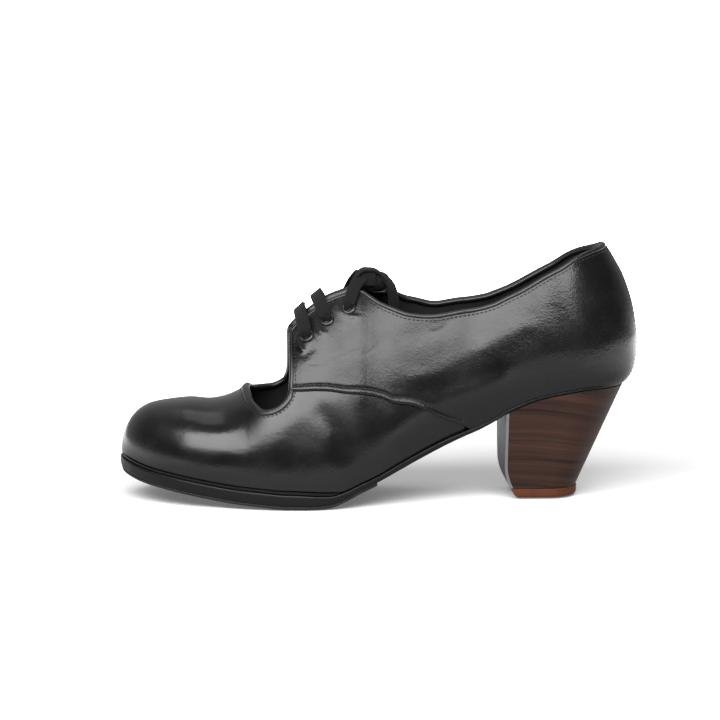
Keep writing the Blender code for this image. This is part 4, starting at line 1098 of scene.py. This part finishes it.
def relief(points):
    """How far the worn leather stands proud of the last, in millimetres."""
    x, y, z = points[..., 0], points[..., 1], points[..., 2]
    outer_side = ease(4.0, 12.0, y)
    inner_side = ease(4.0, 12.0, -y)
    total = np.zeros(x.shape)
    for depth, half, line in CREASES:
        near = np.exp(-((line_distance(x, z, line) / half) ** 2))
        moved = [(px - 2.0, pz - 0.8) for px, pz in line]
        far = np.exp(-((line_distance(x, z, moved) / (half * 1.15)) ** 2))
        total -= depth * (near * outer_side + 0.75 * far * inner_side)
    total += 0.05 * np.sin(x / 6.1 + z / 8.3) * np.sin(z / 5.7 - y / 9.1 + 1.0)
    total += 0.02 * np.sin(x / 3.3 - z / 4.9 + y / 7.0)
    seam = np.exp(-((y / 0.55) ** 2)) * ease(30.0, 20.0, x)
    fold = CUTOUT_RISE * smooth(OVERLAY_EDGE, 1, np.clip(x / SHOE_LENGTH, 0.326, 0.76))
    near_fold = np.abs(z - foot_height(np.clip(x / SHOE_LENGTH, 0, 1)) - fold - 1.5)
    total = total * (1 - 0.85 * np.exp(-((near_fold / 4.0) ** 2)) * ease(0.33, 0.36, x / SHOE_LENGTH))
    return total - 0.35 * seam


def strip_of(columns, starts, ends, shares):
    """A grid of points on chosen meridians: each runs from its start to its end by the given shares."""
    shares = np.asarray(shares)
    spans = zip(columns, starts, ends)
    return np.array([along_path(RING[i], start + (end - start) * shares) for i, start, end in spans])


def outward(grid, around=False):
    normals = grid_normals(grid, around)
    middle = np.array([SHOE_LENGTH / 2, 0.0, 45.0])
    if ((grid - middle) * normals).sum() < 0:
        normals = -normals
    return normals


def calm(grid, normals, reach=4):
    """Normals turned outwards and averaged over neighbouring meridians, which crowd together at the toe."""
    across = grid - (0.0, BALL_WIDTH * BOX_MIDDLE, 20.0)
    across[..., 0] = np.maximum(grid[..., 0] - SHOE_LENGTH + TOE_DEPTH, 0.0)
    facing = np.sign((across * normals).sum(axis=-1, keepdims=True))
    padded = np.pad(normals * facing, ((reach, reach), (0, 0), (0, 0)), mode="edge")
    return unit(sum(padded[k : k + len(normals)] for k in range(2 * reach + 1)))


def make_vamp():
    """Forepart of the upper, from the toe back under the quarters."""
    count = len(RING)
    order = [i % count for i in range(-count // 2, count // 2)]
    chosen = [i for i in order if LAPS[i] is None or LAPS[i] > 0.6]
    tops = [LENGTHS[i] if LAPS[i] is None else min(LENGTHS[i], LAPS[i] + 4.5) for i in chosen]
    shares = np.linspace(0, 1, 84)
    grid = strip_of(chosen, [0.0] * len(chosen), tops, shares)
    normals = calm(grid, outward(grid))
    outer = grid + normals * relief(grid)[..., None]
    inner = grid - normals * 1.0
    made = shell("vamp", outer, inner, False, BLACK, ["upper"])
    made.data.set_sharp_from_angle(angle=SOFT_ANGLE)
    return made


FOLD = (
    # distance from the folded edge, rise over the last
    (0.00, -0.35),
    (0.00, 0.45),
    (0.20, 0.86),
    (0.55, 1.14),
    (1.00, 1.24),
    (1.50, 1.20),
    (2.00, 1.08),
    (2.40, 0.94),
    (2.75, 0.74),
    (3.00, 0.66),
    (3.25, 0.74),
    (3.70, 0.88),
    (4.60, 0.90),
)


def make_quarters():
    """Both quarters with the heel as one skin, lapped over the vamp with a folded, stitched edge."""
    chosen = [i for i in range(len(RING)) if LAPS[i] is not None and LENGTHS[i] - LAPS[i] > 0.8]
    rows, offsets = [], []
    body = np.linspace(0, 1, 74)[1:]
    for i in chosen:
        span = LENGTHS[i] - LAPS[i]
        folded = ease(0.0, 3.0, LAPS[i])
        near = np.array([d for d, _ in FOLD]) * min(1.0, span / 9.0)
        gone = np.concatenate([near, near[-1] + (span - near[-1]) * body])
        rise = np.array([h for _, h in FOLD])
        rise = np.where(np.arange(len(FOLD)) == 0, rise, OVERLAY_STEP + (rise - OVERLAY_STEP) * folded)
        rows.append(along_path(RING[i], LAPS[i] + gone))
        offsets.append(np.concatenate([rise, np.full(len(body), OVERLAY_STEP)]))
    grid, offsets = np.array(rows), np.array(offsets)
    fine = grid.copy()
    fine[:, 0] = grid[:, 0] - (grid[:, 3] - grid[:, 0]) * 0.02
    normals = outward(fine)
    normals[:, :3] = normals[:, 3:4]
    outer = grid + normals * (offsets + relief(grid))[..., None]
    inner = grid - normals * 0.4
    made = shell("quarters", outer, inner, False, QUARTER, ["upper"])
    made.data.set_sharp_from_angle(angle=SOFT_ANGLE)
    return made


def make_lining():
    shares = np.linspace(0, 1, 40)
    grid = strip_of(range(len(RING))[::2], [0.4] * len(RING[::2]), LENGTHS[::2] - 0.5, shares)
    normals = outward(grid, True)
    soft = 0.25 * relief(grid)[..., None]
    return shell("lining", grid - normals * (0.9 - soft), grid - normals * (UPPER_WALL - soft), True, LINING,
                 ["upper"])


# Edge of the upper as an even ring of points, with its directions and what it is bound with

def even_ring(points, values, pitch):
    """Evenly spaced points of a closed line, with values that belong to its points carried along."""
    looped = np.concatenate([points, points[:1]])
    gone = np.concatenate([[0], np.cumsum(np.linalg.norm(np.diff(looped, axis=0), axis=1))])
    at = np.linspace(0, gone[-1], round(gone[-1] / pitch), endpoint=False)
    even = np.stack([np.interp(at, gone, looped[:, axis]) for axis in range(3)], -1)
    carried = [np.interp(at, gone, np.concatenate([value, value[:1]])) for value in values]
    return even, carried


def soften(values, reach):
    """Running mean round a closed line."""
    kernel = np.ones(2 * reach + 1) / (2 * reach + 1)
    padded = np.concatenate([values[-reach:], values, values[:reach]])
    return np.convolve(padded, kernel, "valid")


TOPS = np.array([path[-1] for path in RING])
LAPPED = np.array([float(lap is not None and length - lap > 0.8) for lap, length in zip(LAPS, LENGTHS)])
EDGE, (EDGE_LAPPED,) = even_ring(TOPS, [LAPPED], 1.0)
for axis in range(3):
    EDGE[:, axis] = soften(soften(EDGE[:, axis], 1), 1)
EDGE_LAPPED = soften(EDGE_LAPPED, 2)
EDGE_NORMALS = np.array([on_base(point)[1] for point in EDGE])
for axis in range(3):
    EDGE_NORMALS[:, axis] = soften(soften(EDGE_NORMALS[:, axis], 3), 3)
EDGE_NORMALS = unit(EDGE_NORMALS)
EDGE_TANGENTS = unit(np.roll(EDGE, -1, axis=0) - np.roll(EDGE, 1, axis=0))
EDGE_INWARD = unit(np.cross(EDGE_NORMALS, EDGE_TANGENTS))
if (EDGE_INWARD[:, 2] > 0).mean() > 0.5:
    EDGE_INWARD = -EDGE_INWARD


def beside_edge(lapped_distance, bare_distance, rise, chosen=None):
    """A line on the upper beside its edge: one distance along the quarters, another round the cut-out."""
    line = []
    for i in range(len(EDGE)) if chosen is None else chosen:
        distance = bare_distance + (lapped_distance - bare_distance) * EDGE_LAPPED[i]
        place, normal = on_base(EDGE[i] + EDGE_INWARD[i] * distance)
        line.append(place + normal * (OVERLAY_STEP * EDGE_LAPPED[i] + rise))
    return np.array(line)


def make_binding():
    """The rolled binding over the upper's whole edge: wide round the cut-out, narrow along the collar."""
    rows = []
    for i, start in enumerate(EDGE):
        lap = EDGE_LAPPED[i]
        wide = 3.0 - 1.1 * lap
        top = OVERLAY_STEP * lap
        under = -UPPER_WALL - 0.1
        profile = (
            # distance down from the edge, rise over the bare upper
            (wide, top - 0.25), (wide - 0.05, top + 0.10), (wide - 0.25, top + 0.36),
            (wide * 0.72, top + 0.52), (wide * 0.45, top + 0.56), (wide * 0.2, top + 0.46),
            (0.0, top + 0.18), (-0.28, top - 0.28), (-0.38, (top + under) / 2), (-0.25, under + 0.25),
            (0.1, under - 0.22), (0.9, under - 0.38), (1.7, under - 0.30), (1.9, under + 0.1),
            (1.2, under + 0.7), (wide * 0.6, top - 0.5),
        )
        ring = []
        for distance, rise in profile:
            if distance > 0.15:
                place, normal = on_base(start + EDGE_INWARD[i] * distance)
            else:
                place, normal = start + EDGE_INWARD[i] * distance, EDGE_NORMALS[i]
            ring.append(place + normal * rise)
        rows.append(np.array(ring))
    faces = tube_faces(len(rows), len(rows[0]), closed_rows=True)
    made = make("edge_binding", np.concatenate(rows), faces, BOUND, ["upper"], sharp=1.2)
    return turn_out(made)


# Stitches, laid along lines by one node tree

def stitch_tree():
    """Lays short threads along a line: named inputs give their pitch, length, thickness and finish."""
    tree = bpy.data.node_groups.new("stitches", "GeometryNodeTree")
    face = tree.interface
    face.new_socket("Geometry", in_out="INPUT", socket_type="NodeSocketGeometry")
    for name, value in (("Pitch", 2.0), ("Length", 1.5), ("Thickness", 0.5)):
        face.new_socket(name, in_out="INPUT", socket_type="NodeSocketFloat").default_value = value * MM
    face.new_socket("Finish", in_out="INPUT", socket_type="NodeSocketMaterial")
    face.new_socket("Geometry", in_out="OUTPUT", socket_type="NodeSocketGeometry")
    inside, outside = node(tree, "NodeGroupInput"), node(tree, "NodeGroupOutput")
    even = node(tree, "GeometryNodeResampleCurve", mode="LENGTH")
    link(tree, inside.outputs["Geometry"], even.inputs["Curve"])
    link(tree, inside.outputs["Pitch"], even.inputs["Length"])
    bead = node(tree, "GeometryNodeMeshUVSphere", {"Segments": 6, "Rings": 5, "Radius": 0.5})
    size = node(tree, "ShaderNodeCombineXYZ")
    for axis, name in (("X", "Thickness"), ("Y", "Thickness"), ("Z", "Length")):
        link(tree, inside.outputs[name], size.inputs[axis])
    way = node(tree, "GeometryNodeInputTangent")
    turn = node(tree, "FunctionNodeAlignEulerToVector", axis="Z")
    link(tree, way.outputs["Tangent"], turn.inputs["Vector"])
    placed = node(tree, "GeometryNodeInstanceOnPoints")
    link(tree, even.outputs["Curve"], placed.inputs["Points"])
    link(tree, bead.outputs["Mesh"], placed.inputs["Instance"])
    link(tree, turn.outputs["Rotation"], placed.inputs["Rotation"])
    link(tree, size.outputs["Vector"], placed.inputs["Scale"])
    real = node(tree, "GeometryNodeRealizeInstances")
    link(tree, placed.outputs["Instances"], real.inputs["Geometry"])
    dressed = node(tree, "GeometryNodeSetMaterial")
    link(tree, real.outputs["Geometry"], dressed.inputs["Geometry"])
    link(tree, inside.outputs["Finish"], dressed.inputs["Material"])
    link(tree, dressed.outputs["Geometry"], outside.inputs["Geometry"])
    return tree


STITCHES = stitch_tree()


def lay_along(name, lines, finish, pitch, length, thick, closed=False, replaces=()):
    """Runs the node tree over lines of points in millimetres, and keeps the result as a plain mesh."""
    data = bpy.data.curves.new(name + "_line", "CURVE")
    data.dimensions = "3D"
    for line in lines:
        spline = data.splines.new("POLY")
        spline.points.add(len(line) - 1)
        for point, place in zip(spline.points, in_frame(line)):
            point.co = (*place, 1.0)
        spline.use_cyclic_u = closed
    guide = bpy.data.objects.new(name + "_line", data)
    bpy.context.scene.collection.objects.link(guide)
    step = guide.modifiers.new("stitches", "NODES")
    step.node_group = STITCHES
    values = {"Pitch": pitch * MM, "Length": length * MM, "Thickness": thick * MM, "Finish": finish}
    for item in STITCHES.interface.items_tree:
        if item.item_type == "SOCKET" and item.in_out == "INPUT" and item.name in values:
            step[item.identifier] = values[item.name]
    graph = bpy.context.evaluated_depsgraph_get()
    mesh = bpy.data.meshes.new_from_object(guide.evaluated_get(graph))
    guide.modifiers.clear()
    bpy.data.objects.remove(guide, do_unlink=True)
    mesh.name = name
    made = bpy.data.objects.new(name, mesh)
    bpy.context.scene.collection.objects.link(made)
    mesh.shade_smooth()
    declare(made, replaces)
    return made


def lap_line(distance, rise):
    """A line along the quarters' folded edge on each side, at a distance up from it."""
    lines = []
    for side in (1, -1):
        line = []
        for i, path in enumerate(RING):
            lap, room = LAPS[i], LENGTHS[i] - (LAPS[i] or 0.0)
            if lap is None or lap < 0.8 or room < 2.6 or path[len(path) // 2, 1] * side < 0:
                continue
            place, normal = on_base(along_path(path, [lap + distance * min(1.0, room / 9.0)])[0])
            line.append(place + normal * rise)
        lines.append(np.array(line))
    return lines


def stitch_upper():
    """Thread beside the bound edge, on the cut-out's binding, along the lap and up the back seam."""
    beside = [beside_edge(2.9, 3.5, 0.02)]
    lay_along("edge_stitches", beside, THREAD, 2.0, 1.5, 0.55, closed=True)
    bare = [i for i in range(len(EDGE)) if EDGE_LAPPED[i] < 0.5]
    breaks = [k for k in range(1, len(bare)) if bare[k] != bare[k - 1] + 1]
    bare = bare[breaks[0]:] + bare[: breaks[0]] if breaks else bare
    on_binding = [beside_edge(1.4, 1.4, 0.50, bare)]
    lay_along("binding_stitches", on_binding, THREAD, 1.5, 1.05, 0.42)
    lay_along("lap_stitches", lap_line(3.0, 0.68), THREAD, 1.9, 1.4, 0.5)
    middle = SIDE_COLUMNS - 1
    lines = []
    for shift in (-2, 2):
        path = RING[middle + shift]
        fine = along_path(path, np.linspace(1.5, path_length(path) - 3.5, 60))
        seated = [on_base(point) for point in fine]
        lines.append(np.array([place + normal * (OVERLAY_STEP - 0.05) for place, normal in seated]))
    lay_along("back_stitches", lines, THREAD, 2.0, 1.4, 0.45)


# Soles

STATION_COUNT = 190


def stations(start, end, count=STATION_COUNT):
    """Places along the sole that every layer shares, closer together at a rounded toe or heel."""
    places = roll_toe(np.linspace(float(unroll_toe(0.0)), float(unroll_toe(1.0)), count))
    inner = [place for place in places if start + 0.002 < place < end - 0.002]
    return np.array([start] + inner + [end])


def is_tip(place):
    return float(closing(place)) < 0.02


def plate(name, start, end, levels, material, replaces):
    """A plate with the sole's outline. levels lists (inset, height function) from its top down."""
    places = stations(start, end)
    points, faces, rings = [], [], []
    for place in places:
        loop = []
        for side, order in ((1, levels), (-1, levels[::-1])):
            for inset, height in order:
                x, y = outline(place, side, inset)
                loop.append((x, y, float(height(x / SHOE_LENGTH))))
        if is_tip(place):
            half = len(levels)
            merged = [tuple((np.array(loop[k]) + np.array(loop[-1 - k])) / 2) for k in range(half)]
            loop = merged + merged[::-1]
        rings.append([len(points) + k for k in range(len(loop))])
        points += loop
    size = len(rings[0])
    for a, b in zip(rings, rings[1:]):
        faces += [(a[k], a[(k + 1) % size], b[(k + 1) % size], b[k]) for k in range(size)]
    for place, ring in ((places[0], rings[0]), (places[-1], rings[-1])):
        if not is_tip(place):
            faces.append(tuple(ring))
    return turn_out(make(name, points, faces, material, replaces, sharp=0.9))


def make_soles():
    def edge_level(share):
        return lambda at: sole_under(at) + (sole_top(at) - sole_under(at)) * share

    plate("outsole", 0.0, 1.0,
          [(6.0, sole_top), (0.7, sole_top), (0.28, edge_level(0.985)), (0.05, edge_level(0.92)),
           (0.0, edge_level(0.8)), (0.0, edge_level(0.45)), (0.12, edge_level(0.2)), (0.45, edge_level(0.05)),
           (0.9, sole_under), (6.0, sole_under)],
          SOLE_EDGE, ["outsole"])

    def half_level(share):
        return lambda at: sole_under(at) - PIECE_GAP - HALF_SOLE_THICKNESS * (1 - share)

    plate("half_sole", HALF_SOLE_START, 1.0,
          [(6.0, half_level(1.15)), (0.75, half_level(1.15)), (0.6, half_level(0.8)), (0.8, half_level(0.4)),
           (1.2, half_level(0.1)), (1.9, half_level(0.0)), (6.0, half_level(0.0))],
          SOLE_RUBBER, ["half_sole"])

    def insole_high(at):
        return foot_height(at) + INSOLE_THICKNESS

    inset = SOLE_LIP + UPPER_WALL + 3 * PIECE_GAP
    levels = [(inset + 6, insole_high), (inset + 0.5, insole_high), (inset, foot_height)]
    plate("insole", 0.012, 0.988, levels, INSOLE, ["insole"])


def make_welt():
    """A strip on the sole's edge, round the toe from waist to waist, with a soft outer edge."""
    places = stations(WELT_START - 0.02, 1.0)
    edge = SOLE_LIP - WELT_LIP
    corners = [(edge + 0.3, 1.0), (edge + 0.05, 0.85), (edge, 0.5), (edge + 0.05, 0.12), (edge + 0.3, -0.1),
               (WELT_WIDTH, -0.1), (WELT_WIDTH, 1.0)]
    loops = []
    for side, order in ((1, places), (-1, places[-2::-1])):
        for place in order:
            loop = []
            for inset, share in corners:
                x, y = outline(place, side, inset)
                at = x / SHOE_LENGTH
                loop.append((x, y, float(sole_top(at) + PIECE_GAP + WELT_THICKNESS * share * welt_share(at))))
            loops.append(np.array(loop))
    faces = tube_faces(len(loops), len(corners))
    turn_out(make("welt", np.concatenate(loops), faces, SOLE_EDGE, ["welt"]))


# Heel

def heel_front(height):
    """How far the heel's front leans back towards its base."""
    return HEEL_BREAST * SHOE_LENGTH - BREAST_TUCK * np.clip(1 - height / BREAST_TUCK_RISE, 0, 1) ** 2


def heel_point(along, side, level, lip=0.0):
    """A point of the heel's side: level runs from 0 at its base to 1 under the seat."""
    x, y = outline(along, side, PIECE_GAP)
    breast = HEEL_BREAST * SHOE_LENGTH
    top_length = breast - seat_shift(0.0)
    top_width = BALL_WIDTH * smooth(PLAN, 2, 0.15) * 2
    base_x = breast - (breast - x) * (HEEL_BASE_LENGTH + lip) / top_length
    base_y = y * (HEEL_BASE_WIDTH + 2 * lip) / top_width
    return base_x + (x - base_x) * level, base_y + (y - base_y) * level**1.25


def heel_ring(level, lip=0.0, inset=0.0, count=60, front=None):
    """One level of the heel's outline, as (x, y), from the outer breast corner round to the inner one."""
    place = HEEL_BREAST
    for _ in range(8):
        place = HEEL_BREAST - float(seat_shift(place)) / SHOE_LENGTH
    places = roll_toe(np.linspace(float(unroll_toe(place)), float(unroll_toe(0.0)), count))
    ring = [heel_point(place, 1, level, lip) for place in places]
    ring += [heel_point(place, -1, level, lip) for place in places[-2::-1]]
    shape = np.array(ring, float)
    breast = HEEL_BREAST * SHOE_LENGTH
    shape[0, 0] = shape[-1, 0] = breast
    back, half = shape[:, 0].min(), shape[:, 1].max()
    length = breast - back
    front = breast if front is None else front
    shape[:, 0] = back + inset + (shape[:, 0] - back) * (front - back - 2 * inset) / length
    shape[:, 1] *= 1 - inset / half
    return shape


def strip_caps(size, start):
    faces = []
    for i in range(size // 2):
        j = size - 1 - i
        faces.append(tuple(dict.fromkeys([start + i, start + i + 1, start + j - 1, start + j])))
    return [face for face in faces if len(face) > 2]


def make_heel():
    base = LIFT_THICKNESS + PIECE_GAP
    top = heel_ring(1.0)
    height = sole_under(top[:, 0] / SHOE_LENGTH) - PIECE_GAP
    rows = []
    for level in np.linspace(0, 1, 26):
        z = base + (height - base) * level
        ring = heel_ring(level, front=float(heel_front(z[0])))
        rows.append(np.column_stack([ring, z]))
    size = len(rows[0])
    faces = tube_faces(len(rows), size, capped=False)
    faces += strip_caps(size, 0) + strip_caps(size, (len(rows) - 1) * size)
    turn_out(make("heel_block", np.concatenate(rows), faces, WOOD, ["heel_block"]))


def make_breast_cover():
    """The thin glossy cover of the heel's front, with its pale cut edges."""
    base = LIFT_THICKNESS + PIECE_GAP
    points, columns, levels = [], np.linspace(-1, 1, 15), np.linspace(0, 1, 30)
    for depth in (PIECE_GAP * 0.3, PIECE_GAP + BREAST_COVER_THICKNESS):
        for level in levels:
            for share in columns:
                x = HEEL_BREAST * SHOE_LENGTH + depth
                top = float(sole_under(x / SHOE_LENGTH)) - PIECE_GAP
                z = base + (top - base) * level
                half = abs(heel_ring(level, count=8)[0][1])
                points.append((float(heel_front(z)) + depth, half * share, z))
    width, count = len(columns), len(columns) * len(levels)
    faces = []
    for row in range(len(levels) - 1):
        for k in range(width - 1):
            a = row * width + k
            quad = (a, a + 1, a + 1 + width, a + width)
            faces += [quad, tuple(c + count for c in reversed(quad))]
    rim = list(range(width - 1)) + [r * width + width - 1 for r in range(len(levels) - 1)]
    rim += [count - 1 - k for k in range(width - 1)] + [r * width for r in range(len(levels) - 1, 0, -1)]
    for a, b in zip(rim, rim[1:] + rim[:1]):
        faces.append((a, b, b + count, a + count))
    finishes = [COVER, COVER_EDGE]
    made = turn_out(make("heel_breast_cover", points, faces, finishes, ["heel_breast_cover"]))
    for face in made.data.polygons:
        if abs(face.normal.y) > 0.8:
            face.material_index = 1


def make_lift():
    """The leather lift under the heel, its front and lower edges worn round."""
    rows = []
    cover = BREAST_COVER_THICKNESS + PIECE_GAP
    levels = (
        # height over the floor, inset of the edge
        (LIFT_THICKNESS, 0.35), (LIFT_THICKNESS - 0.3, 0.0), (3.2, 0.0), (2.0, 0.0), (1.2, 0.12),
        (0.75, 0.35), (NAIL_HEIGHT, 0.8),
    )
    for z, inset in levels:
        ring = heel_ring(0.0, LIFT_LIP, inset, front=float(heel_front(z)) + cover)
        rows.append(np.column_stack([ring, np.full(len(ring), z)]))
    size = len(rows[0])
    faces = tube_faces(len(rows), size, capped=False)
    faces += strip_caps(size, 0) + strip_caps(size, (len(rows) - 1) * size)
    turn_out(make("top_lift", np.concatenate(rows), faces, LIFT, ["top_lift"]))


def even_line(line, pitch, closed):
    line = np.array(line)
    if closed:
        line = np.concatenate([line, line[:1]])
    gone = np.concatenate([[0], np.cumsum(np.linalg.norm(np.diff(line, axis=0), axis=1))])
    count = max(2, round(gone[-1] / pitch))
    at = np.linspace(0, gone[-1], count + (not closed), endpoint=not closed)
    return [tuple(float(np.interp(d, gone, line[:, axis])) for axis in range(line.shape[1])) for d in at]


def make_nails(name, spots):
    """Domed nail heads on short shanks: each spot gives x, y and the height of the face it stands out of."""
    profile = ((0.0, -1.0), (0.62, -0.92), (0.95, -0.55), (1.0, -0.1), (1.0, 0.8))
    sides, points, faces = 12, [], []
    for x, y, z in spots:
        start = len(points)
        for radius, height in profile[1:]:
            for k in range(sides):
                angle = 2 * math.pi * k / sides
                reach = radius * NAIL_DIAMETER / 2
                east, north = reach * math.cos(angle), reach * math.sin(angle)
                points.append((x + east, y + north, z + height * NAIL_HEIGHT))
        rings = len(profile) - 1
        faces += [tuple(start + c for c in face) for face in tube_faces(rings, sides)]
    return turn_out(make(name, points, faces, NAIL))


def make_all_nails():
    edge = heel_ring(0.0, LIFT_LIP, NAIL_EDGE, front=float(heel_front(0.5)))
    lift = [(x, y, NAIL_HEIGHT) for x, y in even_line(edge, NAIL_PITCH, True)]
    make_nails("lift_nails", lift)
    spots = []
    for inset in (NAIL_EDGE + 1.2, NAIL_EDGE + 1.2 + NAIL_PITCH):
        places = roll_toe(np.linspace(float(unroll_toe(0.868)), float(unroll_toe(1.0)), 40))
        line = [outline(p, 1, inset) for p in places] + [outline(p, -1, inset) for p in places[::-1][1:]]
        spots += even_line(line, NAIL_PITCH, False)
    under = [(x, y, float(sole_under(x / SHOE_LENGTH)) - PIECE_GAP - HALF_SOLE_THICKNESS) for x, y in spots]
    make_nails("toe_nails", under)


# Eyelets and the rest of the lace

def make_eyelets():
    seat = OVERLAY_STEP + 0.1
    bore, rim = EYELET_BORE / 2, EYELET_DIAMETER / 2
    profile = [(bore, -UPPER_WALL - 0.2), (bore - 0.02, seat + 0.1)]
    middle, radius = (bore + rim) / 2 + 0.05, (rim - bore) / 2 + 0.08
    for k in range(9):
        angle = math.pi * (1 - k / 8)
        profile.append((middle + radius * math.cos(angle), seat + 0.15 + 0.85 * math.sin(angle)))
    profile += [(rim, seat - 0.3), (bore + 0.4, seat - 0.3), (bore + 0.4, -UPPER_WALL - 0.2)]
    sides = 40
    for side, word in ((1, "lateral"), (-1, "medial")):
        for number, row in enumerate(EYELETS, 1):
            centre, axis, _ = eyelet_place(row, side)
            flat = unit(np.cross(axis, (1.0, 0.0, 0.0)))
            other = np.cross(axis, flat)
            angles = 2 * math.pi * np.arange(sides) / sides
            rows = []
            for reach, height in profile:
                spoke = np.outer(np.cos(angles), flat) + np.outer(np.sin(angles), other)
                rows.append(centre + spoke * reach + axis * height)
            faces = tube_faces(len(rows), sides, closed_rows=True)
            turn_out(make(f"eyelet_{word}_{number}", np.concatenate(rows), faces, ENAMEL,
                          [f"eyelet_{word}_{number}"]))


def make_laces():
    for number, row in enumerate(EYELETS[:2], 1):
        lace_bar(f"lace_bar_{number}", row, np.linspace(0, 1, 41), 1, True, [f"lace_bar_{number}"])
    for side, word in ((1, "lateral"), (-1, "medial")):
        name = f"lace_bar_3_{word}"
        lace_bar(name, EYELETS[2], np.linspace(0, 0.36, 18), side, False, [name])


def lump(name, centre, size, fold):
    """A soft flattened lump of folded lace, with the weave's UV laid over it."""
    points, around, up = [], 40, 22
    for row in range(1, up):
        angle = math.pi * row / up - math.pi / 2
        for k in range(around):
            spin = 2 * math.pi * k / around
            flat = math.cos(angle) ** 0.7
            x = math.copysign(abs(math.cos(spin)) ** 0.8, math.cos(spin)) * flat * size[0] / 2
            y = math.copysign(abs(math.sin(spin)) ** 0.8, math.sin(spin)) * flat * size[1] / 2
            swell = fold * math.sin(y * 0.9 + 0.7 * x) * flat
            points.append(centre + (x, y, math.sin(angle) * size[2] / 2 + swell))
    made = turn_out(make(name, points, tube_faces(up - 1, around), WEAVE, ["lace_knot"]))
    layer = made.data.uv_layers.new(name="UVMap")
    for loop in made.data.loops:
        place = made.data.vertices[loop.vertex_index].co
        layer.data[loop.index].uv = (place.y / MM, place.x / MM)
    return made


def strand(name, points, wide_way, replaces):
    """A short length of the lace along given points, with its width turned to wide_way."""
    points = np.array(points, float)
    at = np.linspace(0, len(points) - 1, 6 * len(points))
    table = [(k, *point) for k, point in enumerate(points)]
    centres = np.stack([smooth(table, axis, at) for axis in (1, 2, 3)], -1)
    path = unit(np.gradient(centres, axis=0))
    wide = np.array(wide_way, float) - path * (path @ np.array(wide_way, float))[:, None]
    wide = unit(wide)
    return ribbon(name, centres, wide, unit(np.cross(path, wide)), replaces)


def make_knot():
    """The knot: a folded lump with the lace wrapped round it and its strands lying over it."""
    x, _, z = knot_centre()
    size = (KNOT_LENGTH + 5.4, KNOT_WIDTH - 1.0, KNOT_HEIGHT + 4.2)
    lump("lace_knot", np.array([x - 2.6, 0.0, z - 2.2]), size, 0.3)
    over = KNOT_HEIGHT / 2 + 0.7
    wrap = [(x - 1.0, 8.2, z - 3.4), (x - 1.0, 7.6, z + 0.2), (x - 1.2, 4.6, z + over - 0.4),
            (x - 1.4, 0.0, z + over), (x - 1.6, -4.6, z + over - 0.4), (x - 1.8, -7.6, z + 0.2),
            (x - 1.8, -8.2, z - 3.4)]
    strand("knot_wrap", wrap, (1, 0, 0), ["lace_knot"])
    for side, word in ((1, "lateral"), (-1, "medial")):
        tail = [(x + 5.0, 6.0 * side, z - 1.6), (x + 3.6, 5.6 * side, z + 0.9), (x + 0.6, 5.0 * side, z + 2.6),
                (x - 3.0, 4.4 * side, z + 2.5), (x - 6.2, 4.0 * side, z + 1.0), (x - 8.6, 3.9 * side, z - 1.6)]
        strand(f"knot_tail_{word}", tail, (0, 1, 0.35 * side), ["lace_knot"])


make_vamp()
make_quarters()
make_lining()
make_binding()
stitch_upper()
make_soles()
make_welt()
make_heel()
make_breast_cover()
make_lift()
make_all_nails()
make_eyelets()
make_laces()
make_knot()
